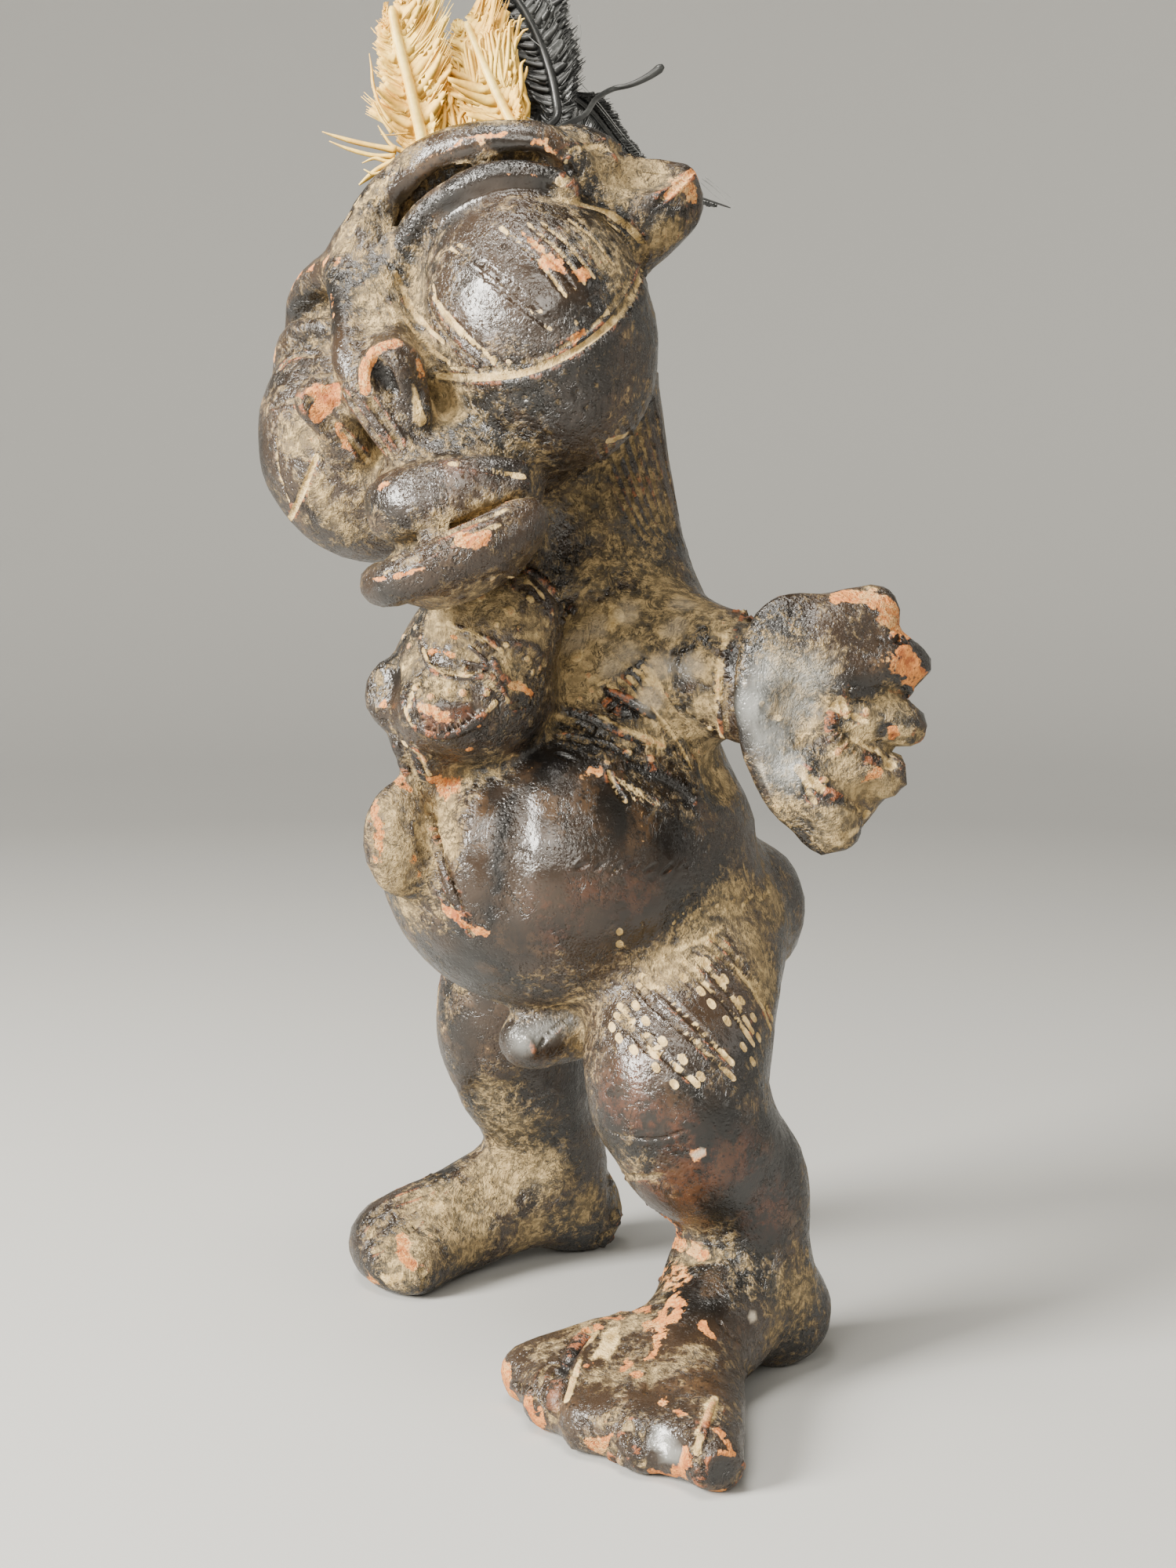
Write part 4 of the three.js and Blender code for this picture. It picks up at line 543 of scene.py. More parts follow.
# long cuts across the bulb
for a, b in (((574, 316), (702, 420)), ((584, 311), (690, 398))):
    groove([a, ((a[0] + b[0]) / 2 - 3, (a[1] + b[1]) / 2 - 4), b], 0.7, 0.7, fill=0.75, berm=0.3, width=0.55)
for s in range(6):
    a = (640 + 17 * s, 290 - 2 * s); b = (722 + 12 * s, 378 - 8 * s)
    groove([a, ((a[0] + b[0]) / 2 + 3, (a[1] + b[1]) / 2 - 4), b], 0.62, 0.55, fill=0.75 if s not in (1, 4) else 0.35, berm=0.2)
pits([(640, 292), (668, 300), (752, 388), (775, 398), (735, 412), (790, 345)], 0.9, 0.45, (5, 6), 0.5, 0.7)
# dashes under the cuts
for i, (u, v) in enumerate([(571, 402), (583, 416), (596, 430), (609, 443), (622, 455), (637, 465), (655, 470), (560, 388)]):
    groove([(u - 7, v - 8), (u + 7, v + 8)], 0.7, 0.6, fill=0.85, berm=0.2)
groove([(552, 365), (558, 388), (575, 415), (598, 440), (625, 458)], 0.75, 0.55, fill=0.6, berm=0.2)
groove([(546, 378), (552, 400), (568, 428), (592, 452), (612, 468)], 0.6, 0.4, fill=0.4)
# right eye: line down the bulb
groove([(404, 582), (392, 612), (380, 640), (370, 662)], 0.95, 0.8, fill=0.95, berm=0.25)
groove([(352, 560), (356, 600), (370, 640)], 0.6, 0.45, fill=0.5)
groove([(346, 520), (362, 512), (385, 512)], 0.8, 0.6, fill=0.3)
groove([(350, 478), (375, 455), (408, 452)], 1.0, 0.9, fill=0.2, berm=0.3)
# lid ends
groove([(512, 350), (508, 364), (517, 376)], 0.9, 0.8, fill=0.2)
groove([(722, 206), (727, 222), (716, 236)], 0.8, 0.7, fill=0.5, berm=0.3)
pits([(715, 232)], 1.3, 0.3, (4, 6), 0.9, 1.1)
# curved cuts on the temple and behind the brow
for s in range(4):
    groove([(712 + 16 * s, 200 - 5 * s), (738 + 15 * s, 187 - 2 * s), (770 + 11 * s, 190 + 2 * s)], 0.7, 0.6, fill=0.55, berm=0.25)
for (u, v) in [(452, 262), (468, 248), (476, 264), (462, 276), (486, 238), (440, 282), (500, 222), (446, 300)]:
    groove([(u, v), (u + 8, v - 12)], 0.6, 0.5, fill=0.6)
# marks by the nose root and down its flank
for s in range(3):
    groove([(450 + 11 * s, 352 - 3 * s), (470 + 10 * s, 378), (482 + 11 * s, 412)], 0.55, 0.4, fill=0.5)
groove([(520, 380), (530, 400), (548, 420), (566, 436)], 0.9, 0.6, fill=0.7)
groove([(515, 405), (532, 425), (552, 448), (572, 462)], 0.8, 0.55, fill=0.7)
groove([(505, 348), (516, 368), (520, 392)], 0.9, 0.7, fill=0.6)
# under the nose
groove([(455, 490), (478, 520), (500, 550), (512, 572)], 1.0, 0.9, fill=0.35, berm=0.4)
groove([(437, 500), (458, 530), (482, 562), (500, 585)], 0.9, 0.8, fill=0.45, berm=0.4)
groove([(425, 540), (448, 562), (470, 590)], 0.9, 0.7, fill=0.5)
ridge([(466, 505), (462, 470), (478, 446), (505, 437), (530, 455), (540, 490), (547, 540)], 1.5, 0.8, k=1.4)
patch('chip', [(466, 496), (464, 472), (478, 448), (504, 440)], 1.5, 0.85, 0.6)
patch('chip', [(512, 441), (530, 458), (536, 480)], 1.2, 0.6, 0.7)
patch('earth', [(531, 524), (536, 536)], 1.6, 0.9, 0.8)
# painted shade inside the left nostril hole
patch('dark_skin_and_painted_shade', [(484, 472), (494, 478), (502, 490)], 2.4, 1.0, 0.8)
patch('earth', [(528, 500), (532, 520), (534, 540)], 1.1, 0.7, 0.8)
patch('chip', [(400, 500), (412, 500), (424, 510), (404, 530), (425, 495)], 2.2, 0.9, 0.8)
patch('chip', [(430, 545), (442, 570)], 1.6, 0.5, 0.9)
# painted shade inside the right nostril hole
patch('dark_skin_and_painted_shade', [(400, 519), (408, 532)], 1.4, 1.0, 0.4)
for (u, v) in [(418, 498), (396, 508), (430, 520), (420, 545), (438, 562)]:
    flat((u, v), 3.4, 0.5)
# line over the upper lip, facets of the lips
groove([(575, 590), (610, 594), (640, 603), (668, 608)], 0.8, 0.6, fill=0.95, ends=(0.3, 0.3), berm=0.3)
flat((545, 625), 13, 1.0, (0, 0, 0.2))
groove([(500, 712), (545, 690), (600, 668), (645, 650)], 0.9, 0.8, fill=0.5, berm=0.4)
groove([(490, 730), (530, 712), (580, 690), (640, 668)], 0.7, 0.6, fill=0.6, berm=0.3)
patch('chip', [(590, 688), (605, 692), (618, 684)], 1.9, 0.95, 0.9)
patch('chip', [(470, 742), (500, 736), (540, 726)], 0.8, 0.7, 0.6)
flat((648, 668), 9, 1.2, (0.3, 0, 0))
for (u, v) in [(660, 640), (668, 660), (655, 690), (640, 705)]:
    flat((u, v), 4.0, 0.5)
# bare orange places on the face, then painted shade in the gaps under the brows
patch('chip', [(700, 334), (722, 344), (745, 352)], 2.4, 0.66, 2.0)
patch('chip', [(733, 432), (744, 424)], 1.1, 0.7, 0.9)
patch('chip', [(668, 300), (690, 318)], 1.0, 0.6, 0.9)
patch('chip', [(370, 362), (378, 350), (400, 341), (430, 337)], 1.1, 0.72, 0.7)
patch('chip', [(346, 462), (352, 450), (366, 440)], 0.9, 0.6, 0.7)
patch('chip', [(548, 202), (585, 180), (640, 169), (690, 182), (716, 200)], 0.8, 0.55, 0.6)
patch('chip', [(600, 244), (640, 224), (690, 222)], 0.6, 0.5, 0.5)
patch('chip', [(484, 620), (490, 632), (504, 641)], 1.2, 0.7, 0.8)
patch('chip', [(421, 372), (424, 398)], 0.8, 0.7, 0.5)
patch('chip', [(520, 300), (512, 318)], 0.8, 0.5, 0.6)
# painted shade in the gap between the right brow, lid and bulb, and along the groove under the left brow
patch('dark_skin_and_painted_shade', [(372, 402), (380, 392), (396, 384), (416, 375)], 2.6, 1.0, 0.7)
patch('dark_skin_and_painted_shade', [(520, 310), (545, 270), (590, 228), (650, 206), (700, 208)], 2.2, 0.7, 1.0)
# the ear
groove([(835, 262), (860, 240), (885, 217)], 0.8, 0.5, fill=0.0, berm=0.6)
patch('chip', [(850, 250), (866, 236), (884, 217), (897, 242)], 0.9, 0.9, 0.7)
patch('chip', [(868, 232), (885, 250)], 2.6, 0.45, 1.2)
for s in range(6):
    groove([(846 + 9 * s, 285 - 7 * s), (845 + 9 * s, 305 - 6 * s), (842 + 9 * s, 330 - 8 * s)], 0.5, 0.35, fill=0.4)
for (u, v) in [(790, 215), (815, 205), (800, 240), (830, 225), (850, 207), (780, 230)]:
    flat((u, v), 4.5, 0.35)
# jaw and neck
for s in range(7):
    groove([(832 - 12 * s, 500 + 10 * s), (845 - 10 * s, 570 + 8 * s), (862 - 8 * s, 640 + 6 * s), (880 - 6 * s, 700)], 0.7, 0.45, fill=0.22 if s % 2 else 0.34, berm=0.2)
for i, (u, v) in enumerate([(640, 520), (668, 508), (690, 530), (712, 512), (650, 548), (735, 500), (725, 535), (700, 556), (672, 570), (760, 490), (748, 520), (610, 540)]):
    dots([(u, v)], 0.9 + 0.2 * (i % 3), 0.7, 0.0)
patch('red', [(560, 590), (600, 600)], 2.0, 0.6, 1.5)

# ---------------------------------------------------------------- fist and the ornament on it
z = crop(460, 700, 5)
ridge(z((880, 130), (1000, 150), (1110, 230), (1190, 340), (1228, 470)), 1.9, 1.2, k=1.0)
groove(z((900, 190), (1000, 215), (1090, 290), (1160, 390), (1190, 490)), 1.0, 1.3, fill=0.1, berm=0.2)
groove(z((1010, 120), (1140, 170), (1240, 290), (1290, 430), (1290, 560)), 1.1, 1.3, fill=0.0, berm=0.3)
patch('earth', z((950, 165), (1060, 210), (1150, 300), (1215, 420)), 0.8, 0.75, 0.5)
for x, y, r in [(770, 310, 1.7), (560, 370, 1.4), (430, 440, 1.3), (950, 400, 2.0), (1080, 320, 1.7), (840, 190, 1.2), (350, 500, 1.2), (270, 560, 1.2), (650, 300, 1.1), (870, 480, 1.2), (1010, 500, 1.1), (500, 480, 1.0), (390, 560, 1.1), (310, 620, 1.3)]:
    dots(z((x, y)), r, 0.75, 0.55, raised=True, k=0.7)
ridge(z((540, 470), (690, 525), (830, 590), (900, 655)), 1.2, 1.0, k=0.7)
patch('earth', z((560, 475), (690, 528), (830, 592), (900, 655)), 0.7, 0.9, 0.5)
ridge(z((925, 612), (1080, 608), (1170, 690)), 1.1, 0.9, k=0.7)
patch('earth', z((925, 612), (1070, 606)), 0.8, 0.8, 0.5)
groove(z((650, 565), (740, 620), (830, 690)), 2.0, 2.6, fill=0.0, k=0.5, berm=0.0)
groove(z((425, 690), (560, 722), (700, 760), (790, 795)), 1.3, 2.0, fill=0.0, k=0.4, berm=0.0)
groove(z((620, 790), (760, 800), (850, 830)), 1.1, 1.4, fill=0.0, k=0.4, berm=0.0)
ridge(z((640, 715), (750, 742), (820, 765)), 1.1, 0.9, k=0.6, wear=1.0, width=0.9)
ridge(z((690, 620), (770, 690), (830, 760)), 1.1, 0.6, k=0.6, wear=1.0, width=0.9)
ridge(z((840, 700), (880, 790), (960, 860)), 1.3, 1.1, k=0.6, wear=1.0, width=1.0)
ridge(z((400, 640), (440, 750), (540, 815), (700, 815), (820, 815), (900, 890), (940, 975)), 1.2, 1.0, k=0.7)
patch('earth', z((400, 640), (440, 750), (540, 815), (700, 815), (820, 815), (900, 890), (940, 975)), 0.6, 0.85, 0.5)
for x, y, r in [(1060, 700, 1.3), (920, 720, 1.4), (1100, 790, 1.3), (1010, 650, 1.0), (1140, 760, 1.0), (1050, 880, 1.2)]:
    dots(z((x, y)), r, 0.7, 0.5, raised=True, k=0.6)
patch('chip', z((440, 660), (520, 645), (590, 680)), 0.8, 0.85, 0.6)
patch('chip', z((580, 560), (650, 580)), 0.8, 0.7, 0.6)
patch('chip', z((960, 870), (1040, 890), (1100, 930)), 0.9, 0.75, 0.7)
groove(z((1180, 700), (1150, 860), (1110, 960), (960, 1010)), 1.2, 1.2, fill=0.1)
groove(z((310, 1000), (320, 900), (380, 850), (480, 850)), 1.1, 1.0, fill=0.5, berm=0.4)
for x, y, r in [(350, 885, 1.5), (450, 940, 1.7), (650, 920, 1.9), (805, 920, 1.9), (560, 900, 1.2)]:
    dots(z((x, y)), r, 1.0, 0.9, raised=True, k=0.5, width=1.1)
groove(z((330, 1040), (420, 1130), (540, 1150), (660, 1100), (750, 1020)), 0.9, 1.1, fill=0.0, berm=0.0)
ridge(z((290, 1030), (330, 1120), (430, 1180), (560, 1190), (680, 1140), (780, 1060), (860, 980)), 1.3, 1.0, k=0.6)
patch('earth', z((290, 1030), (330, 1120), (430, 1180), (560, 1190), (680, 1140), (780, 1060), (860, 980)), 0.75, 0.9, 0.4)
patch('chip', z((380, 1010), (470, 1040), (540, 1090)), 1.3, 0.75, 1.0)
patch('red', z((420, 1100), (560, 1110), (660, 1060)), 2.4, 0.9, 1.0)
patch('shine', z((500, 1010), (600, 1020), (690, 1030)), 1.6, 0.9, 0.8)
dots(z((750, 1130), (690, 1280), (730, 1220)), 1.2, 0.6, 0.0, raised=True)
patch('chip', z((690, 1280)), 1.0, 0.9, 0.5); patch('chip', z((750, 1128)), 0.9, 0.7, 0.5)
flat((485 + 17, 878), 10, 1.2, (0, 0, 0.15))
patch('shine', z((215, 800), (215, 900), (210, 980)), 2.2, 1.0, 0.8)
patch('chip', z((165, 820), (150, 900), (150, 990)), 0.9, 0.9, 0.5)
groove(z((265, 760), (270, 900), (280, 1010)), 0.9, 1.0, fill=0.5)
for a, b in ((140, 1090), (250, 1180)):
    groove(z((a, b), (a + 40, b + 60), (a + 90, b + 120)), 1.4, 1.5, fill=0.0)
groove(z((215, 1220), (250, 1330), (310, 1460)), 1.3, 1.6, fill=0.2)
groove(z((330, 1240), (370, 1340), (400, 1460)), 1.5, 1.9, fill=0.0)
ridge(z((290, 1230), (390, 1310), (440, 1440)), 1.0, 0.8)
patch('earth', z((270, 1240), (380, 1300), (440, 1440)), 0.9, 0.7, 0.7)
patch('chip', z((480, 1480), (540, 1530), (620, 1500)), 2.4, 0.8, 1.2)
patch('chip', z((240, 1470), (300, 1530)), 1.6, 0.7, 1.0)
# painted shade in the deep groove
patch('dark_skin_and_painted_shade', z((350, 1330), (395, 1460)), 1.4, 1.0, 0.6)

# ---------------------------------------------------------------- chest
z = crop(690, 740, 5)
ridge(z((360, 670), (480, 625), (600, 570), (645, 520)), 1.2, 0.8, k=0.8)
patch('earth', z((370, 665), (480, 625), (600, 570)), 0.7, 0.7, 0.5)
for a, b in (((430, 680), (545, 745)), ((500, 640), (610, 750)), ((560, 615), (650, 730)), ((610, 575), (700, 680)), ((650, 550), (740, 690)), ((690, 560), (775, 710))):
    groove(z(a, ((a[0] + b[0]) / 2 + 4, (a[1] + b[1]) / 2 - 4), b), 0.75, 0.7, fill=0.75, berm=0.3)
groove(z((385, 710), (450, 795), (560, 855), (700, 885)), 1.7, 1.9, fill=0.0, berm=0.2, k=0.5)
ridge(z((400, 690), (500, 735), (600, 790), (715, 875)), 1.4, 1.2, k=0.6, wear=1.0, width=1.4)
# painted shade along the deep groove under the ridge
patch('dark_skin_and_painted_shade', z((410, 740), (480, 800), (600, 850)), 1.3, 0.9, 0.7)
groove(z((650, 540), (760, 720), (850, 850), (930, 980), (1000, 1150), (1025, 1260)), 0.9, 0.8, fill=0.35, berm=0.35)
groove(z((700, 800), (800, 930), (900, 1080), (960, 1200)), 0.7, 0.6, fill=0.6, berm=0.3)
groove(z((740, 860), (840, 1010), (930, 1150)), 0.6, 0.5, fill=0.2, berm=0.3)
ridge(z((60, 810), (230, 850), (380, 905), (500, 990), (640, 1035), (790, 1065)), 2.0, 1.3, k=1.4)
groove(z((110, 880), (260, 925), (400, 985), (520, 1040), (700, 1085), (800, 1100)), 1.2, 1.2, fill=0.1, k=0.8)
patch('earth', z((380, 890), (500, 960), (640, 1010), (770, 1050)), 1.7, 0.6, 1.2)
for a, b in (((100, 1000), (330, 1040)), ((330, 1030), (480, 1080)), ((100, 1110), (200, 1150))):
    groove(z(a, ((a[0] + b[0]) / 2, (a[1] + b[1]) / 2 - 8), b), 0.9, 0.7, fill=0.1, berm=0.5)
groove(z((560, 1200), (700, 1240), (830, 1310), (960, 1390)), 3.0, 3.2, fill=0.0, k=1.0, berm=0.2)
groove(z((470, 1200), (560, 1180), (700, 1200), (860, 1270), (990, 1360)), 1.2, 1.4, fill=0.0, k=0.5)
groove(z((430, 1220), (480, 1330), (540, 1410)), 0.9, 0.8, fill=0.6, berm=0.5)
for s in range(4):
    groove(z((480 + 50 * s, 1260 + 22 * s), (540 + 50 * s, 1320 + 22 * s), (600 + 50 * s, 1400 + 10 * s)), 0.6, 0.5, fill=0.5, berm=0.3)
# painted shade in the broad groove
patch('dark_skin_and_painted_shade', z((700, 1230), (820, 1300), (950, 1390)), 2.6, 0.9, 1.2)
dots(z((480, 220), (230, 480), (440, 290)), 2.4, 1.1, 0.6, raised=True, k=1.2)
patch('earth', z((470, 190), (480, 250)), 2.0, 0.8, 1.2)
# a deep pit, with painted shade inside it
dots(z((200, 185)), 1.2, 1.6, 0.0); patch('dark_skin_and_painted_shade', z((200, 185)), 1.2, 1.0, 0.4)
groove(z((1030, 1150), (1080, 1170), (1120, 1200)), 1.2, 1.4, fill=0.0)
groove(z((890, 870), (915, 905)), 1.0, 1.0, fill=0.0)
for x, y in [(300, 610), (330, 700), (250, 760), (560, 1100), (420, 1170), (700, 1140), (1060, 1100), (1080, 950)]:
    dots(z((x, y)), 1.4, 0.7, 0.5, raised=True, k=0.9)
patch('chip', z((300, 1230), (360, 1210)), 1.9, 0.6, 1.2); patch('chip', z((540, 1100)), 1.3, 0.6, 1.0)

# ---------------------------------------------------------------- arm and hand
z = crop(880, 720, 2.5)
ridge([(975, 762), (945, 779), (926, 814), (918, 850), (916, 882), (918, 914), (921, 941)], 1.8, 1.1, k=0.7)
patch('earth', [(975, 762), (945, 779), (926, 814), (918, 850), (916, 882), (918, 914), (921, 941)], 0.8, 0.8, 0.5)
groove([(968, 764), (938, 781), (919, 815), (911, 850), (909, 882), (911, 914), (914, 941)], 0.7, 0.7, fill=0.1)
groove([(982, 764), (952, 781), (933, 816), (925, 850), (923, 882), (925, 914), (928, 941)], 0.7, 0.7, fill=0.1)
groove(z((505, 410), (600, 415), (690, 420), (760, 400)), 2.0, 3.0, fill=0.0, k=0.8, berm=0.3)
groove(z((470, 440), (450, 510), (480, 560), (560, 610), (650, 640)), 1.5, 1.7, fill=0.8, k=0.6, berm=0.4, width=1.3)
groove(z((345, 650), (400, 700), (480, 750), (570, 800)), 1.5, 1.7, fill=0.85, k=0.6, berm=0.4, width=1.3)
groove(z((480, 420), (500, 470), (560, 500)), 0.9, 0.8, fill=0.7, berm=0.3)
groove(z((640, 220), (670, 240), (690, 230)), 1.6, 1.8, fill=0.0, k=0.8)
groove(z((640, 545), (680, 560), (735, 555)), 1.0, 1.2, fill=0.4)
groove(z((365, 690), (380, 730), (400, 760)), 0.9, 0.8, fill=0.6)
for p in z((240, 470), (350, 578)):
    dots([p], 1.0, 0.8, 0.7)
groove(z((232, 445), (250, 470), (285, 490)), 0.9, 0.6, fill=0.7)
patch('chip', z((490, 95), (550, 85), (610, 110), (650, 160), (675, 210)), 3.2, 1.0, 0.8)
flat((880 + 560 / 2.5, 720 + 95 / 2.5), 13, 1.6, (0, 0, 0.5)); flat((880 + 640 / 2.5, 720 + 150 / 2.5), 9, 1.2, (0.2, 0, 0.4))
patch('chip', z((690, 290), (715, 330), (745, 385)), 3.0, 1.0, 0.8); patch('chip', z((650, 310), (700, 370)), 2.2, 0.6, 1.2)
flat((880 + 700 / 2.5, 720 + 320 / 2.5), 9, 1.0)
patch('chip', z((645, 520), (650, 550)), 1.5, 0.9, 0.8); patch('chip', z((600, 660), (580, 680)), 1.5, 0.7, 0.8)
patch('chip', z((290, 205), (320, 195)), 1.0, 0.9, 0.5)
for x, y in ((740, 450), (745, 500), (735, 545), (690, 470), (620, 470), (640, 640), (600, 720), (540, 760), (680, 600), (500, 880), (420, 920), (560, 850), (360, 860), (660, 690), (550, 700)):
    flat((880 + x / 2.5, 720 + y / 2.5), 5, 0.6, (0, 0, 0.1))
for x, y in ((500, 480), (560, 470), (470, 600), (430, 690)):
    dots(z((x, y)), 1.5, 0.7, 0.6, raised=True, k=0.8)
patch('earth', z((520, 560), (600, 600), (640, 630)), 1.6, 0.5, 1.5)
patch('earth', z((480, 860), (540, 850), (420, 910)), 1.5, 0.5, 1.2)

# ---------------------------------------------------------------- belly
ridge([(600, 1000), (592, 1050), (586, 1100), (594, 1150), (606, 1186)], 8.5, 1.9, k=1.6, ends=(0.05, 0.3))
# painted shade along the step down at the strap's right edge
patch('dark_skin_and_painted_shade', [(653, 1012), (643, 1050), (636, 1090), (634, 1130), (628, 1175)], 1.6, 0.9, 1.0)
patch('shine', [(628, 1012), (616, 1050), (610, 1090), (612, 1140)], 3.4, 1.0, 1.2)
groove([(545, 1028), (555, 1070), (568, 1115), (584, 1155), (603, 1190)], 1.3, 1.6, fill=0.0, k=0.5, berm=0.4)
patch('earth', [(552, 1062), (565, 1112), (580, 1150), (596, 1182)], 0.6, 0.8, 0.4)
groove([(530, 1050), (540, 1090), (556, 1128), (580, 1165)], 0.8, 0.7, fill=0.5)
patch('chip', [(565, 1160), (580, 1166), (592, 1178)], 1.5, 1.0, 0.5)
patch('chip', [(602, 1184), (622, 1190)], 1.3, 0.9, 0.5)
patch('chip', [(478, 1020), (484, 1060), (480, 1100)], 1.8, 0.6, 1.0)
patch('chip', [(528, 1095), (532, 1120)], 0.9, 0.8, 0.6)
groove([(470, 1040), (484, 1052), (500, 1050)], 0.8, 0.7, fill=0.2)
for i, (u, v) in enumerate([(500, 1100), (520, 1140), (508, 1170), (530, 1190), (550, 1212), (488, 1078), (512, 1060), (640, 1240), (590, 1230), (900, 1010), (880, 1060), (915, 1100), (860, 1180), (930, 1060), (905, 960), (760, 1235)]):
    flat((u, v), 4.5 + (i % 3), 0.45)
pits([(790, 1204), (790, 1188)], 1.3, 0.5, (4, 6), 0.9, 1.0)
groove([(818, 1175), (822, 1188), (821, 1198)], 0.5, 0.35, fill=0.4)
for s in range(7):
    groove([(735 + 22 * s, 1108 + 3 * (s % 3)), (750 + 22 * s, 1102 - 2 * (s % 2))], 0.7, 0.35, fill=0.1, berm=0.35)

# ---------------------------------------------------------------- left hip and thigh
z = crop(770, 1170, 5)
for row in ([(95, 560), (140, 605), (180, 660)], [(75, 620), (180, 720), (290, 850), (340, 885)], [(270, 750), (360, 850), (450, 945), (540, 1010), (600, 1070)],
            [(240, 370), (350, 450), (450, 550), (540, 640), (640, 730), (730, 830), (820, 930)],
            [(220, 430), (300, 530), (420, 640), (520, 730), (640, 840), (740, 930), (830, 1030)], [(240, 375), (275, 405), (300, 440)],
            [(515, 280), (600, 370), (700, 470), (800, 570), (880, 680), (955, 810)],
            [(600, 265), (690, 350), (780, 450), (850, 540), (910, 650), (950, 730)],
            [(635, 150), (740, 235), (840, 320), (930, 420), (1010, 550), (1070, 710)],
            [(675, 110), (790, 200), (880, 310), (980, 440), (1040, 560), (1080, 650)]):
    groove(z(*row), 1.0, 0.85, fill=1.0, berm=0.3, k=0.3, ends=(0.1, 0.25), width=0.82)
pits(z((200, 560), (265, 660), (375, 790), (505, 905), (620, 1015), (50, 700), (95, 770), (190, 845), (335, 960), (450, 1065),
       (510, 385), (620, 470), (690, 550), (790, 660), (890, 830), (950, 920), (650, 280), (775, 390), (880, 530), (955, 640), (990, 765)), 1.35, 0.7, (7, 10))
groove([(770, 1320), (785, 1342)], 0.6, 0.5, fill=0.4)
for s in range(6):
    groove([(860 + 22 * s, 1178 - 6 * s), (872 + 22 * s, 1166 - 6 * s)], 0.6, 0.4, fill=0.7)
patch('earth', [(830, 1232), (860, 1212), (895, 1200), (920, 1185)], 1.0, 0.6, 1.2)

# knee and shin
groove([(768, 1438), (800, 1450), (840, 1452), (880, 1440)], 0.7, 0.3, fill=0.0, berm=0.1)
groove([(772, 1500), (800, 1502), (850, 1500)], 0.8, 0.6, fill=0.0, berm=0.2)
for a, b in (((855, 1483), (868, 1477)), ((872, 1478), (890, 1470)), ((893, 1472), (908, 1465))):
    patch('chip', [a, b], 1.0, 1.0, 0.35)
patch('chip', [(858, 1484), (872, 1478), (890, 1470), (906, 1464)], 0.8, 1.0, 0.3)
patch('pale_fill_and_painted_light', [(870, 1479), (898, 1468)], 0.7, 0.8, 0.5)
patch('chip', [(792, 1466), (798, 1480)], 1.0, 0.9, 0.5); patch('red', [(800, 1488)], 1.5, 1.0, 0.6)
groove([(802, 1558), (840, 1572), (880, 1590), (925, 1600)], 1.2, 1.0, fill=0.1, berm=0.4)
for q in ([(806, 1556), (812, 1580)], [(838, 1570), (850, 1582), (870, 1588)], [(850, 1568), (866, 1574)], [(880, 1592), (896, 1600)]):
    patch('chip', q, 1.7, 0.9, 0.7)
groove([(795, 1606), (840, 1604), (890, 1606), (935, 1598)], 1.4, 1.0, fill=0.2, k=1.2)

# ---------------------------------------------------------------- left foot
z = crop(600, 1590, 4)
groove(z((640, 400), (560, 480), (500, 570), (450, 680), (420, 790), (400, 900)), 2.4, 2.6, fill=0.0, k=0.9, berm=0.2)
# painted shade in the deep groove
patch('dark_skin_and_painted_shade', z((560, 500), (480, 620), (430, 740), (405, 860)), 1.8, 0.9, 0.8)
ridge(z((660, 430), (600, 520), (555, 610), (520, 700), (480, 800)), 1.2, 0.7, k=0.8)
patch('earth', z((645, 440), (590, 530), (550, 620), (515, 710), (490, 780)), 1.0, 0.85, 0.6)
groove(z((540, 660), (430, 600), (370, 640), (350, 720)), 1.0, 0.7, fill=0.0)
groove(z((800, 900), (790, 980), (740, 1060), (720, 1120)), 1.7, 1.9, fill=0.1, k=0.9)
groove(z((850, 960), (830, 1040), (870, 1130)), 1.4, 1.4, fill=0.1, k=0.8)
dots(z((760, 1090)), 2.4, 1.0, 0.4, raised=True, k=1.2)
# a broken facet; a greyish patch on it is a painted highlight, beside a glossy patch
flat((600 + 985 / 4, 1590 + 1020 / 4), 12, 1.5, (0, 0, 0.25)); patch('shine', z((960, 1000), (1000, 1040)), 4.2, 1.0, 0.9); patch('grey_dust_and_painted_sheen', z((960, 990), (1010, 1040)), 3.2, 0.55, 0.6)
patch('chip', z((1080, 1040), (1100, 1100), (1040, 1150)), 1.6, 1.0, 0.6); patch('chip', z((930, 1150), (1010, 1190), (1080, 1150)), 1.5, 0.9, 0.6)
patch('chip', z((900, 920), (960, 900)), 0.8, 0.6, 0.6)
groove(z((1180, 1060), (1150, 1130), (1180, 1210)), 1.5, 1.9, fill=0.1, k=0.8)
groove(z((1215, 760), (1180, 860), (1150, 960), (1135, 1050)), 1.3, 1.6, fill=0.0, k=0.5, berm=0.3)
ridge(z((1245, 775), (1210, 880), (1175, 980), (1155, 1045)), 1.2, 0.9, k=0.6)
patch('earth', z((1245, 770), (1210, 880), (1175, 980), (1155, 1045)), 1.1, 0.9, 0.5)
groove(z((1280, 790), (1250, 890), (1215, 1000)), 0.9, 0.9, fill=0.2)
flat((600 + 1290 / 4, 1590 + 1165 / 4), 10, 1.3); patch('dark_skin_and_painted_shade', z((1290, 1165)), 3.6, 0.7, 0.8)
ridge(z((1200, 1090), (1260, 1050), (1340, 1060), (1395, 1120), (1395, 1200), (1350, 1260), (1270, 1290)), 1.2, 0.8, k=0.6)
patch('chip', z((1270, 1050), (1340, 1060), (1395, 1120), (1395, 1200), (1340, 1270), (1280, 1285)), 0.9, 0.7, 0.6)
patch('chip', z((1270, 940), (1310, 990), (1340, 1050)), 1.2, 0.8, 0.8)
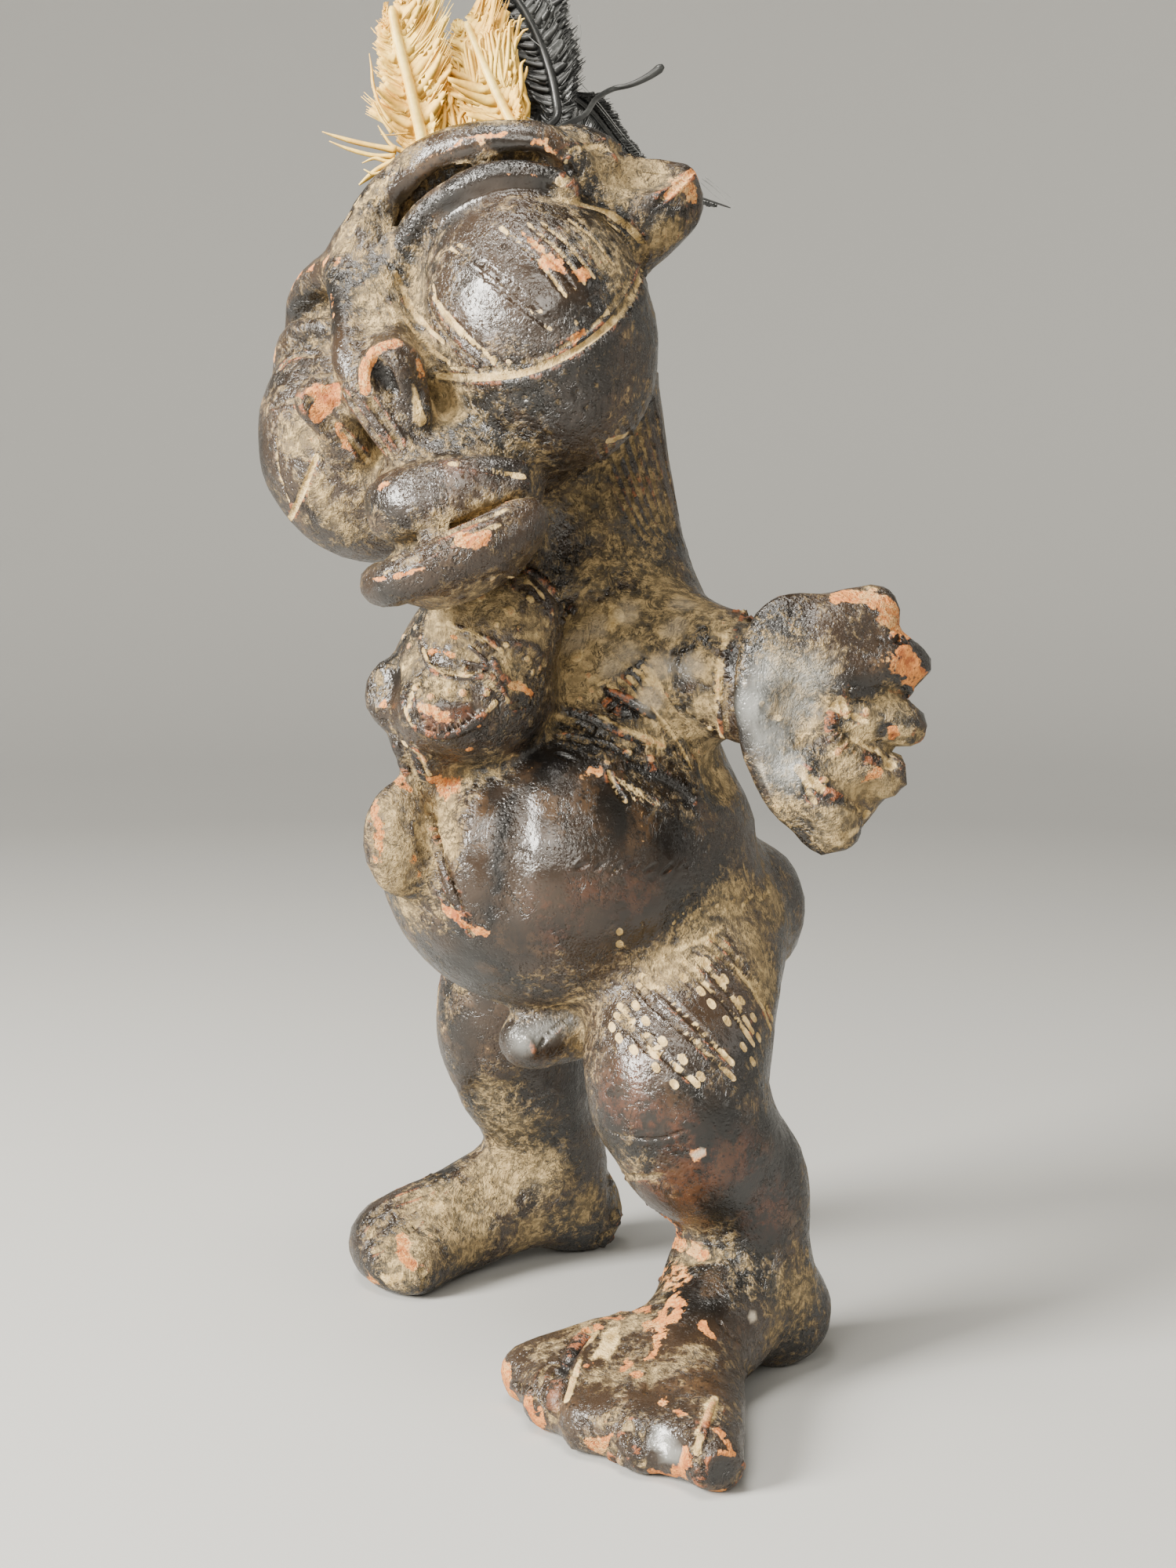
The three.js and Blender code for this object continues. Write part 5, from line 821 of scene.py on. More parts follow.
patch('chip', z((1240, 1255), (1290, 1290)), 1.5, 0.9, 0.6)
flat((600 + 160 / 4, 1590 + 690 / 4), 9, 1.3); patch('chip', z((150, 590), (180, 660), (170, 750), (220, 760)), 2.3, 1.0, 0.5); patch('dark_skin_and_painted_shade', z((95, 620), (95, 700)), 1.6, 0.9, 0.5)
patch('chip', z((290, 800), (320, 880), (350, 940)), 2.0, 1.0, 0.6); patch('chip', z((350, 830), (370, 900)), 1.0, 0.9, 0.5)
groove(z((230, 700), (290, 740), (330, 800)), 1.3, 1.4, fill=0.1)
patch('chip', z((725, 820), (720, 880), (700, 950), (680, 1010), (640, 1050)), 1.2, 1.0, 0.4); patch('chip', z((600, 1010), (620, 1040)), 1.6, 1.0, 0.5)
for q in ([(800, 245), (850, 250)], [(690, 300), (780, 310), (860, 320), (960, 310)], [(680, 360), (760, 360)], [(900, 330), (930, 420), (950, 490)], [(960, 320), (970, 420)], [(640, 400), (660, 420)],
          [(1010, 290), (1100, 310)], [(1040, 330), (1080, 400), (1100, 450)], [(1140, 340), (1200, 400), (1225, 480)], [(600, 610), (650, 605)], [(760, 540), (800, 620), (860, 650)], [(840, 590), (900, 560), (970, 550)], [(990, 760), (1030, 810), (1070, 850)], [(620, 410), (590, 420)]):
    patch('chip', z(*q), 1.25, 0.85, 0.6)
patch('earth', z((720, 440), (700, 520), (660, 570)), 2.6, 0.65, 1.2)
patch('chip', z((930, 110), (1000, 130), (1060, 170)), 4.5, 0.42, 2.5)
for i, (x, y) in enumerate([(700, 330), (780, 350), (900, 380), (850, 300), (1070, 370), (1150, 430), (730, 480), (820, 560), (1000, 480), (600, 760), (900, 700)]):
    flat((600 + x / 4, 1590 + y / 4), 5 + (i % 3), 0.5)
groove(z((1260, 370), (1310, 430), (1380, 490)), 0.7, 0.5, fill=0.0, berm=0.4); patch('pale_fill_and_painted_light', z((1275, 385), (1320, 440)), 0.5, 0.8, 0.4)
patch('pale_fill_and_painted_light', z((1440, 340), (1450, 380)), 1.3, 0.8, 0.6)
groove(z((930, 600), (920, 680), (900, 760)), 1.2, 0.9, fill=0.1, k=1.0)
groove(z((1400, 560), (1440, 650), (1460, 760)), 1.2, 0.8, fill=0.3, k=1.0)

# ---------------------------------------------------------------- right foot
z = crop(450, 1470, 5)
for row in ([(560, 120), (430, 160), (280, 220), (170, 260)], [(500, 230), (380, 270), (240, 320), (110, 400)], [(430, 330), (300, 380), (190, 440), (80, 540)], [(430, 430), (330, 500), (230, 560), (120, 640)]):
    groove(z(*row), 1.5, 1.5, fill=0.1, k=0.9, berm=0.5)
groove(z((640, 170), (560, 250), (500, 330)), 1.0, 0.7, fill=0.3, k=0.8)
patch('earth', z((150, 270), (120, 310)), 1.5, 0.7, 0.9); patch('red', z((380, 350), (320, 390)), 1.4, 0.7, 0.8); patch('earth', z((500, 330), (600, 350)), 1.4, 0.7, 1.2)
patch('chip', z((320, 560), (320, 650), (370, 720)), 2.0, 0.95, 0.8); patch('chip', z((110, 780), (110, 840)), 1.5, 0.9, 0.7); patch('earth', z((200, 800), (250, 840), (290, 780)), 1.5, 0.9, 0.8)
flat((450 + 370 / 5, 1470 + 800 / 5), 6, 0.9); flat((450 + 200 / 5, 1470 + 760 / 5), 7, 0.7)
groove(z((430, 740), (470, 820), (440, 880)), 1.1, 1.0, fill=0.1)
groove(z((1420, 570), (1450, 600)), 1.2, 1.0, fill=0.0)
for i, (x, y) in enumerate([(700, 330), (850, 420), (1000, 330), (1150, 450), (1300, 380), (600, 560), (760, 640), (1240, 250)]):
    flat((450 + x / 5, 1470 + y / 5), 7 + (i % 3) * 2, 0.45)

# ---------------------------------------------------------------- glossy, red and dusty regions, with painted shade and painted light in places
def wash(channel, pts, width, strength=1.0, soften=4.0, how=seen):
    p, m = how(np.asarray(pts, float))
    for i in range(len(p)):
        paint(channel, p[i:i + 1], width, strength, soften)


wash('shine', [(600, 400), (650, 390), (700, 390), (745, 360), (620, 350), (680, 340)], 5, 1.0, 4)
patch('shine', [(510, 251), (560, 195), (635, 176), (697, 189), (716, 214)], 3.2, 1.0, 1.6)
patch('shine', [(560, 275), (591, 250), (640, 232), (690, 234)], 2.6, 1.0, 1.4)
wash('shine', [(500, 640), (540, 625), (580, 612), (620, 608)], 2.8, 1.0, 2)
patch('shine', [(424, 380), (430, 430), (438, 470)], 1.6, 0.9, 1.0)
wash('shine', [(480, 760), (540, 735), (600, 715), (660, 680)], 3, 0.6, 2.5)
wash('shine', [(690, 1050), (740, 1080), (800, 1060), (850, 1100), (700, 1130), (660, 1200), (760, 1170), (600, 1235), (820, 1150), (690, 980), (760, 1010)], 8, 0.95, 6)
wash('red', [(700, 1160), (750, 1135), (720, 1190), (810, 1140)], 5, 0.55, 6)
wash('shine', [(800, 1360), (860, 1400), (840, 1430), (790, 1400), (900, 1430)], 6, 0.9, 5)
wash('red', [(780, 1400), (820, 1425), (870, 1450), (800, 1380)], 6, 0.65, 5)
wash('shine', [(830, 1530), (880, 1500), (930, 1470), (890, 1540), (950, 1520), (990, 1460), (980, 1560)], 7, 0.85, 5)
wash('red', [(850, 1520), (900, 1490), (950, 1480), (980, 1540)], 7, 0.7, 5)
wash('shine', [(760, 1640), (700, 1690), (740, 1780), (840, 1780), (900, 1680), (950, 1700), (860, 1700), (900, 1760)], 6, 0.75, 4)
wash('shine', [(960, 870), (955, 910), (970, 950), (1100, 860), (1130, 830)], 4, 0.7, 3)
wash('shine', [(870, 870), (930, 850), (860, 850)], 4, 0.6, 3)
wash('shine', [(620, 1290), (600, 1330), (690, 1330), (670, 1340), (640, 1270)], 6, 0.7, 4)
wash('dark_skin_and_painted_shade', [(690, 1400), (720, 1440), (740, 1380)], 8, 0.5, 6)
wash('dark_skin_and_painted_shade', [(700, 1090), (640, 1190), (620, 1250), (860, 1080), (690, 970)], 6, 0.45, 6)
wash('dust', [(560, 770), (600, 760), (640, 770)], 6, 0.7, 4)
wash('dust', [(760, 650), (800, 700), (760, 730), (820, 620), (840, 740)], 8, 0.55, 5)
wash('dust', [(760, 800), (800, 830), (840, 860), (800, 780), (730, 820), (860, 800), (880, 765), (830, 900), (770, 860), (850, 750)], 7, 1.0, 4)
wash('dust', [(870, 800), (890, 850), (895, 900), (880, 930), (930, 800), (900, 780)], 5, 0.95, 3)
wash('dust', [(990, 850), (1030, 870), (1000, 900), (980, 950), (1010, 990), (1050, 840), (1030, 930), (1060, 990), (1000, 1030), (1040, 1040), (1060, 900)], 5, 0.62, 4)
# greyish coat on the palm: partly grey dust, partly a painted bluish sheen
wash('grey_dust_and_painted_sheen', [(985, 860), (965, 900), (985, 940), (1000, 980), (1015, 900), (1030, 860)], 4.5, 0.75, 3.5)
wash('dust', [(560, 800), (600, 830), (640, 850), (560, 880), (680, 800), (520, 850), (640, 780)], 5, 0.9, 4)
wash('shine', [(830, 1290), (880, 1300), (930, 1330), (900, 1290), (850, 1330), (920, 1270), (950, 1310)], 5, 0.75, 4)
wash('grey_dust_and_painted_sheen', [(680, 1320), (700, 1312), (720, 1305), (665, 1330)], 3.0, 0.5, 2.5)
patch('earth', [(700, 1285), (720, 1280), (748, 1272)], 1.4, 0.5, 1.0)
groove([(688, 1335), (702, 1318), (728, 1296)], 0.7, 0.7, fill=0.2, berm=0.3)
ridge([(668, 1322), (678, 1332), (682, 1345)], 1.0, 0.7, k=0.6)
# painted shadow beside the palm rim, where the rim overhangs the wrist
patch('dark_skin_and_painted_shade', [(941, 800), (932, 850), (935, 900), (946, 950)], 1.8, 0.8, 0.8)
# a painted highlight along the sharp edge of the palm rim
patch('pale_fill_and_painted_light', RIM[3:12], 0.45, 0.75, 0.4)
wash('dust', [(740, 1660), (800, 1690), (700, 1720), (860, 1650), (880, 1720), (820, 1750), (760, 1760)], 6, 0.5, 4)
wash('dust', [(470, 380), (490, 360), (480, 410), (500, 400)], 4, 0.85, 3)
wash('dust', [(460, 280), (480, 250), (440, 300), (520, 200), (640, 160), (760, 200), (740, 180)], 5, 0.7, 4)
wash('dust', [(800, 220), (830, 215), (790, 240), (850, 300)], 5, 0.9, 3)
wash('dust', [(560, 530), (400, 620), (420, 650), (440, 680), (370, 560), (575, 515)], 5, 0.7, 4)
# darker under the eye bulb: partly blackish burnished skin, partly painted shade
wash('dark_skin_and_painted_shade', [(640, 540), (680, 560), (720, 545), (700, 590), (645, 590), (760, 520)], 7, 0.45, 5)
wash('dust', [(490, 1040), (500, 1090), (560, 1050), (520, 1160), (575, 1080), (500, 1130)], 6, 0.85, 4)
wash('dust', [(930, 1150), (960, 1200), (980, 1250), (900, 1190), (990, 1150), (860, 1230)], 7, 0.85, 4)
wash('dust', [(1000, 1640), (1020, 1660), (985, 1700)], 6, 0.5, 4)
wash('dust', [(520, 1600), (600, 1580), (680, 1570), (740, 1540), (640, 1500), (560, 1540), (700, 1500)], 9, 0.75, 6)
wash('dust', [(620, 1400), (660, 1440)], 7, 0.4, 5)
wash('dust', [(760, 880), (900, 960), (930, 1000), (900, 900), (740, 860)], 5, 0.7, 4)
wash('dust', [(1080, 960), (1120, 1000), (1060, 1050), (1150, 940), (1100, 930), (1140, 900), (1130, 1010), (1080, 1040), (1060, 1070), (1160, 960), (1090, 1000)], 4.5, 0.95, 3)
# a lighter coat on the chest: partly light-coloured earth, partly painted light
wash('pale_fill_and_painted_light', [(760, 800), (800, 830), (840, 850), (800, 780), (730, 820), (860, 800), (870, 770), (830, 890), (780, 850), (880, 850)], 6, 0.47, 4)
wash('pale_fill_and_painted_light', [(800, 1290)], 0.01, 0.0, 0.5)
print('details', len(DETAIL), len(PAINT), round(time.time() - T0, 1))


# ---------------------------------------------------------------- hidden sides, plainer
def back(p): return facing(180, 5, p)
def right(p): return facing(-90, 5, p)
def left(p): return facing(90, 5, p)


groove([(4, 238), (3, 215), (4, 190), (3, 165), (0, 140), (-2, 118)], 1.5, 1.0, fill=0.4, k=1.2, how=back)
groove([(-30, 131), (-16, 137), (0, 134), (15, 138), (34, 130)], 1.1, 0.8, fill=0.8, how=back)
groove([(-31, 127), (-16, 133), (0, 130), (15, 134), (35, 126)], 0.8, 0.6, fill=0.6, how=back)
for s in range(5):
    groove([(-36 + 5 * s, 104 - 3 * s), (-30 + 5 * s, 92 - 3 * s), (-26 + 5 * s, 80 - 2 * s)], 0.9, 0.7, fill=0.8, how=back)
for a, b in (((-80, 206), (-66, 196)), ((-82, 191), (-68, 186)), ((-82, 176), (-70, 176)), ((-79, 163), (-68, 168))):
    groove([a, ((a[0] + b[0]) / 2, (a[1] + b[1]) / 2 + 1), b], 1.6, 1.4, fill=0.3, k=1.0, how=back)
for s in range(6):
    groove([(-28 + 9 * s, 318 - 1.5 * abs(s - 2)), (-26 + 9 * s, 304), (-22 + 8 * s, 290)], 0.9, 0.6, fill=0.5, how=back)
groove([(-52, 250), (-40, 262), (-22, 270), (0, 272), (20, 268), (38, 258)], 1.1, 0.7, fill=0.7, how=back)
for (a, b) in ((-20, 200), (22, 206), (-10, 176), (30, 178), (-34, 150), (40, 152), (6, 262), (34, 300), (-30, 282), (-44, 40), (42, 34), (-40, 66), (46, 60), (10, 228)):
    flat((a, b), 6.0, 0.7, how=back)
for q in ([(-22, 116), (-16, 120), (-10, 118)], [(20, 122), (25, 118)], [(-52, 22), (-46, 18)], [(52, 20), (58, 14)], [(40, 292), (46, 286)], [(-8, 210), (-4, 206)]):
    patch('chip', q, 2.0, 0.85, 0.8, how=back)
wash('shine', [(-20, 108), (22, 108), (0, 185), (-6, 300), (30, 280), (-44, 60), (44, 55), (4, 225)], 8, 0.8, 6, how=back)
wash('dust', [(0, 150), (-20, 190), (22, 195), (0, 250), (-50, 15), (52, 12), (-30, 85), (34, 84), (-60, 300), (10, 320), (-10, 330)], 11, 0.75, 8, how=back)
wash('red', [(-18, 112), (-40, 50), (30, 260)], 9, 0.5, 7, how=back)
wash('dust', [(-20, 130), (10, 200), (30, 60), (-10, 100), (40, 20), (0, 270)], 10, 0.7, 8, how=right)
wash('shine', [(-10, 170), (20, 110), (-30, 280), (10, 300), (25, 40)], 8, 0.8, 6, how=right)
wash('red', [(-20, 150), (15, 90)], 9, 0.5, 7, how=right)
wash('dust', [(10, 120), (20, 90), (-10, 250), (0, 230), (10, 20), (20, 50)], 10, 0.6, 8, how=left)
for (a, b) in ((-30, 160), (10, 190), (20, 120), (0, 90), (20, 60), (-40, 290), (0, 300), (30, 30)):
    flat((a, b), 6.0, 0.7, how=right)
groove([(-60, 262), (-48, 270), (-34, 268), (-24, 256)], 1.0, 0.8, fill=0.85, how=right)
for s in range(5):
    groove([(0 + 6 * s, 112 - 2 * s), (4 + 6 * s, 98 - 2 * s), (6 + 6 * s, 84)], 0.9, 0.7, fill=0.85, how=right)
print('hidden sides', len(DETAIL), round(time.time() - T0, 1))


# ---------------------------------------------------------------- meshing
def nets(vol, lo, h):
    u = (vol < 0).astype(np.uint8)
    c = u[:-1] + u[1:]; c = c[:, :-1] + c[:, 1:]; c = c[:, :, :-1] + c[:, :, 1:]
    I = np.stack(np.nonzero((c > 0) & (c < 8)), 1)
    ny, nz = vol.shape[1:]
    key = (I[:, 0] * ny + I[:, 1]) * nz + I[:, 2]
    acc = np.zeros((len(I), 3)); cnt = np.zeros(len(I))
    flatv = vol.ravel(); st = (ny * nz, nz, 1)
    corners = [(a, b, d) for a in (0, 1) for b in (0, 1) for d in (0, 1)]
    val = {q: flatv[key + q[0] * st[0] + q[1] * st[1] + q[2] * st[2]] for q in corners}
    for a in corners:
        for ax in range(3):
            if a[ax] == 0:
                b = list(a); b[ax] = 1; b = tuple(b)
                va, vb = val[a], val[b]
                m = (va < 0) != (vb < 0)
                t = np.where(m, va / np.where(m, va - vb, 1), 0)
                p = np.zeros((len(I), 3)); p[:] = a; p[:, ax] += t
                acc[m] += p[m]; cnt[m] += 1
    V = (I + acc / cnt[:, None]) * h + lo
    F = []; v0 = val[(0, 0, 0)]
    for ax in range(3):
        e = [0, 0, 0]; e[ax] = 1
        v1 = val[tuple(e)]
        b_, c_ = [(1, 2), (2, 0), (0, 1)][ax]
        m = ((v0 < 0) != (v1 < 0)) & (I[:, b_] > 0) & (I[:, c_] > 0)
        k0 = key[m]; flip = v0[m] < 0
        q = np.searchsorted(key, np.stack([k0 - st[b_] - st[c_], k0 - st[c_], k0, k0 - st[b_]], 1))
        q2 = q.copy(); q2[~flip] = q[~flip][:, ::-1]
        F.append(q2)
    return V, np.concatenate(F)


def to_mesh(name, V, F, smooth=True):
    me = bpy.data.meshes.new(name)
    k = F.shape[1]
    me.vertices.add(len(V)); me.vertices.foreach_set('co', np.ascontiguousarray(V, dtype=f32).ravel())
    me.loops.add(F.size); me.loops.foreach_set('vertex_index', np.ascontiguousarray(F, dtype=np.int32).ravel())
    me.polygons.add(len(F)); me.polygons.foreach_set('loop_start', np.arange(0, F.size, k, dtype=np.int32))
    me.update(calc_edges=True); me.validate()
    if smooth:
        me.polygons.foreach_set('use_smooth', np.ones(len(me.polygons), bool))
    return me


def add_object(name, me):
    ob = bpy.data.objects.new(name, me); bpy.context.scene.collection.objects.link(ob)
    return ob


def arrays(me):
    me.calc_loop_triangles()
    V = np.empty(len(me.vertices) * 3, f32); me.vertices.foreach_get('co', V)
    F = np.empty(len(me.loop_triangles) * 3, np.int32); me.loop_triangles.foreach_get('vertices', F)
    return V.reshape(-1, 3).astype(float), F.reshape(-1, 3).astype(np.int64)


def normals(V, F):
    a, b, c = V[F[:, 0]], V[F[:, 1]], V[F[:, 2]]
    fn = np.cross(b - a, c - a)
    N = np.stack([np.bincount(F.ravel(), np.repeat(fn[:, i], 3), len(V)) for i in range(3)], 1)
    return N / np.maximum(np.linalg.norm(N, axis=1, keepdims=True), 1e-12)


def edges_of(F, n):
    E = np.sort(np.concatenate([F[:, [0, 1]], F[:, [1, 2]], F[:, [2, 0]]]), 1)
    uk, inv = np.unique(E[:, 0] * n + E[:, 1], return_inverse=True)
    return uk // n, uk % n, inv.reshape(3, -1).T


def split(V, F, want, room):
    """halves every edge longer than wanted, keeping the mesh closed; room is how many triangles may be added"""
    n = len(V); a, b, inv = edges_of(F, n)
    L = np.linalg.norm(V[a] - V[b], axis=1); w = np.minimum(want[a], want[b])
    over = L / w
    mark = over > 1.35
    if mark.sum() * 2 > room:
        cut = np.sort(over[mark])[::-1][max(int(room / 2) - 1, 0)] if room > 4 else 1e9
        mark &= over > cut
    if not mark.any():
        return V, F, want, 0
    idx = np.full(len(a), -1); idx[mark] = n + np.arange(mark.sum())
    V = np.vstack([V, (V[a[mark]] + V[b[mark]]) / 2]); want = np.concatenate([want, np.minimum(want[a[mark]], want[b[mark]])])
    M = mark[inv]; X = idx[inv]; c = M.sum(1)
    out = [F[c == 0]]
    f1 = F[c == 1]; m1 = M[c == 1]; x1 = X[c == 1]; r = m1.argmax(1); q = np.arange(len(f1))
    A, B, C = f1[q, r], f1[q, (r + 1) % 3], f1[q, (r + 2) % 3]; m = x1[q, r]
    out += [np.stack([A, m, C], 1), np.stack([m, B, C], 1)]
    f2 = F[c == 2]; m2 = M[c == 2]; x2 = X[c == 2]; r = (m2.argmin(1) + 1) % 3; q = np.arange(len(f2))
    A, B, C = f2[q, r], f2[q, (r + 1) % 3], f2[q, (r + 2) % 3]; m, k = x2[q, r], x2[q, (r + 1) % 3]
    out += [np.stack([m, B, k], 1)]
    s = np.linalg.norm(V[A] - V[k], axis=1) < np.linalg.norm(V[m] - V[C], axis=1)
    out += [np.stack([A, m, k], 1)[s], np.stack([A, k, C], 1)[s], np.stack([A, m, C], 1)[~s], np.stack([m, k, C], 1)[~s]]
    f3 = F[c == 3]; x3 = X[c == 3]
    out += [np.stack([f3[:, 0], x3[:, 0], x3[:, 2]], 1), np.stack([x3[:, 0], f3[:, 1], x3[:, 1]], 1), np.stack([x3[:, 2], x3[:, 1], f3[:, 2]], 1), x3]
    return V, np.concatenate(out), want, int(mark.sum())


# smooth random values in space: a lattice of hashed numbers, blended
def lattice(P, scale, seed):
    q = P / scale + seed * 17.31; i = np.floor(q).astype(np.int64); t = q - i; t = t * t * (3 - 2 * t)
    r = 0
    for a in (0, 1):
        for b in (0, 1):
            for c in (0, 1):
                h = ((i[:, 0] + a) * 73856093) ^ ((i[:, 1] + b) * 19349663) ^ ((i[:, 2] + c) * 83492791) ^ (seed * 2654435761 % 4294967296)
                h = (h ^ (h >> 13)) * 1274126177 & 0xffffffff; h = (h ^ (h >> 16)) & 0xffff
                w = (t[:, 0] if a else 1 - t[:, 0]) * (t[:, 1] if b else 1 - t[:, 1]) * (t[:, 2] if c else 1 - t[:, 2])
                r = r + w * (h / 32767.5 - 1)
    return r


class Reachable:
    """which strokes can touch which points, worked out once for many readings"""
    def __init__(s, P, margin=1.6):
        s.rows = []
        km = max([o.k for o in DETAIL if not o.cut] + [0])
        order = np.argsort(P[:, 2]); z = P[order, 2]
        for o in DETAIL:
            mg = (o.k if o.cut else km) + margin
            a, b = np.searchsorted(z, [o.lo[2] - mg, o.hi[2] + mg])
            i = order[a:b]; Q = P[i]
            i = i[((Q[:, :2] > o.lo[:2] - mg) & (Q[:, :2] < o.hi[:2] + mg)).all(1)]
            if len(i): s.rows.append((o, i))
    def __call__(s, P):
        d = sample(P).astype(f32); Q = P.astype(f32)
        for o, i in s.rows:
            e = reach(o, Q[i])
            d[i] = -soft(-d[i], e, o.k) if o.cut else soft(d[i], e, o.k)
        return np.maximum(d, -Q[:, 2])


def full_field(P):
    return Reachable(P)(P)


def settle(V, F, lump, rounds=2, cap=0.7):
    """moves the vertices onto the detailed form, offset by lump"""
    e = 0.22
    for _ in range(rounds):
        f = Reachable(V)
        d = f(V) - lump
        g = np.stack([f(V + s) - f(V - s) for s in np.eye(3) * e], 1) / (2 * e)
        g2 = np.maximum((g * g).sum(1), 0.3)
        V = V - g * np.clip(d / g2, -cap, cap)[:, None]
    V[:, 2] = np.maximum(V[:, 2], 0.0)
    return V


def ease(V, F, amount):
    """slides vertices along the surface towards their neighbours' middle; amount is per vertex"""
    n = len(V); a, b, _ = edges_of(F, n)
    k = np.bincount(a, minlength=n) + np.bincount(b, minlength=n)
    M = np.stack([np.bincount(a, V[b, i], n) + np.bincount(b, V[a, i], n) for i in range(3)], 1) / np.maximum(k, 1)[:, None]
    N = normals(V, F); D = M - V; D -= N * (D * N).sum(1, keepdims=True)
    return V + D * amount[:, None]


def near_curve(P, q):
    """distance of points from a run of points"""
    if len(q) == 1:
        return np.linalg.norm(P - q[0], axis=1)
    d = np.full(len(P), 1e9)
    for a, b in zip(q[:-1], q[1:]):
        ba = b - a; t = np.clip(((P - a) @ ba) / (ba @ ba + 1e-9), 0, 1)
        d = np.minimum(d, np.linalg.norm(P - a - t[:, None] * ba, axis=1))
    return d


def stroke_distance(V, far=4.0):
    """distance of each vertex from the nearest stroke"""
    D = np.full(len(V), far)
    for o in DETAIL:
        if o.kind == 'rod':
            q = o.q[:, :3].astype(float); r = float(o.q[:, 3].max())
            if r > 3.5: continue
        else:
            q = o.c[None].astype(float); r = float(o.r.max())
            if r > 3.5: continue
        i = np.nonzero(((V > q.min(0) - r - 1.2) & (V < q.max(0) + r + 1.2)).all(1))[0]
        if len(i): D[i] = np.minimum(D[i], np.maximum(near_curve(V[i], q) - r, 0))
    return D


def build_clay():
    V, Q = nets(VOL, LO, CELL)
    me = to_mesh('raw', V, Q); ob = add_object('raw', me)
    print('raw', len(V), round(time.time() - T0, 1))
    # keep more of the finely worked skin
    vg = ob.vertex_groups.new(name='keep')
    D = stroke_distance(V)
    m = ob.modifiers.new('d', 'DECIMATE'); m.ratio = min(1.0, BASE_TRIS / (len(Q) * 2.0)); m.use_collapse_triangulate = True
    near = np.nonzero(D < 0.8)[0]
    vg.add([int(i) for i in near], 1.0, 'REPLACE')
    m.vertex_group = 'keep'; m.invert_vertex_group = True; m.vertex_group_factor = 1.0
    dg = bpy.context.evaluated_depsgraph_get(); out = bpy.data.meshes.new_from_object(ob.evaluated_get(dg))
    V, F = arrays(out)
    bpy.data.objects.remove(ob); bpy.data.meshes.remove(me); bpy.data.meshes.remove(out)
    print('thinned', len(F), round(time.time() - T0, 1))
    want = np.full(len(V), 3.0)
    for r in range(4):
        D = stroke_distance(V)
        want = np.where(D < 0.45, FINE, np.where(D < 1.1, FINE * 1.9, 3.6))
        V, F, want, k = split(V, F, want, MAX_TRIS - len(F))
        if k == 0: break
        D = stroke_distance(V)
        V = ease(V, F, np.where(D < 1.5, 0.5, 0.25))
        V = settle(V, F, 0.0, 1)
        print('  split', k, len(F), round(time.time() - T0, 1))
    lump = LUMP(V)
    V = settle(V, F, lump, 2)
    V = ease(V, F, np.where(stroke_distance(V) < 1.0, 0.15, 0.35)); V = settle(V, F, lump, 1)
    print('settled', len(F), round(time.time() - T0, 1))
    return V, F


def LUMP(P):
    """hand-worked unevenness of the clay, in millimetres"""
    w = np.clip((P[:, 2] - 0.5) / 4, 0, 1)
    return w * (0.42 * lattice(P, 13.0, 1) + 0.2 * lattice(P, 5.5, 2) + 0.1 * lattice(P, 2.4, 3) - 0.12)


def channels(V, F, N):
    out = {}
    # the blackish channel carries painted shade, and the paler and greyish ones painted light, besides the clay's own
    # colours
    for c in ('earth', 'chip', 'dark_skin_and_painted_shade', 'shine', 'red', 'pale_fill_and_painted_light', 'dust', 'grey_dust_and_painted_sheen'):
        out[c] = np.zeros(len(V))
    for ch, q, w, s, soften in PAINT:
        R = w + soften * 2
        i = np.nonzero(((V > q.min(0) - R) & (V < q.max(0) + R)).all(1))[0]
        if len(i) == 0: continue
        d = near_curve(V[i], q)
        m = np.clip(0.5 + (w - d) / (2 * soften), 0, 1); m = m * m * (3 - 2 * m) * s
        out[ch][i] = np.maximum(out[ch][i], m)
    # hollowness: how soon something else is met going straight out
    ao = np.zeros(len(V))
    for s, w in ((2.0, .28), (4.5, .3), (9.0, .24), (18.0, .18)):
        P = V + N * s
        ao += w * np.clip(1 - np.where(sample(P) > 90, s, sample(P)) / s, 0, 1)
    out['hollow'] = ao
    # bend of the skin: the mean of the neighbours against the normal
    n = len(V); a, b, _ = edges_of(F, n)
    L = np.linalg.norm(V[a] - V[b], axis=1)
    t = ((V[b] - V[a]) * N[a]).sum(1) / np.maximum(L * L, 0.05); u = ((V[a] - V[b]) * N[b]).sum(1) / np.maximum(L * L, 0.05)
    k = np.bincount(a, minlength=n) + np.bincount(b, minlength=n)
    H = (np.bincount(a, t, n) + np.bincount(b, u, n)) / np.maximum(k, 1)
    for _ in range(3):
        H = 0.5 * H + 0.5 * (np.bincount(a, H[b], n) + np.bincount(b, H[a], n)) / np.maximum(k, 1)
    out['bend'] = np.clip(H * 3.0, -1, 1)
    return out


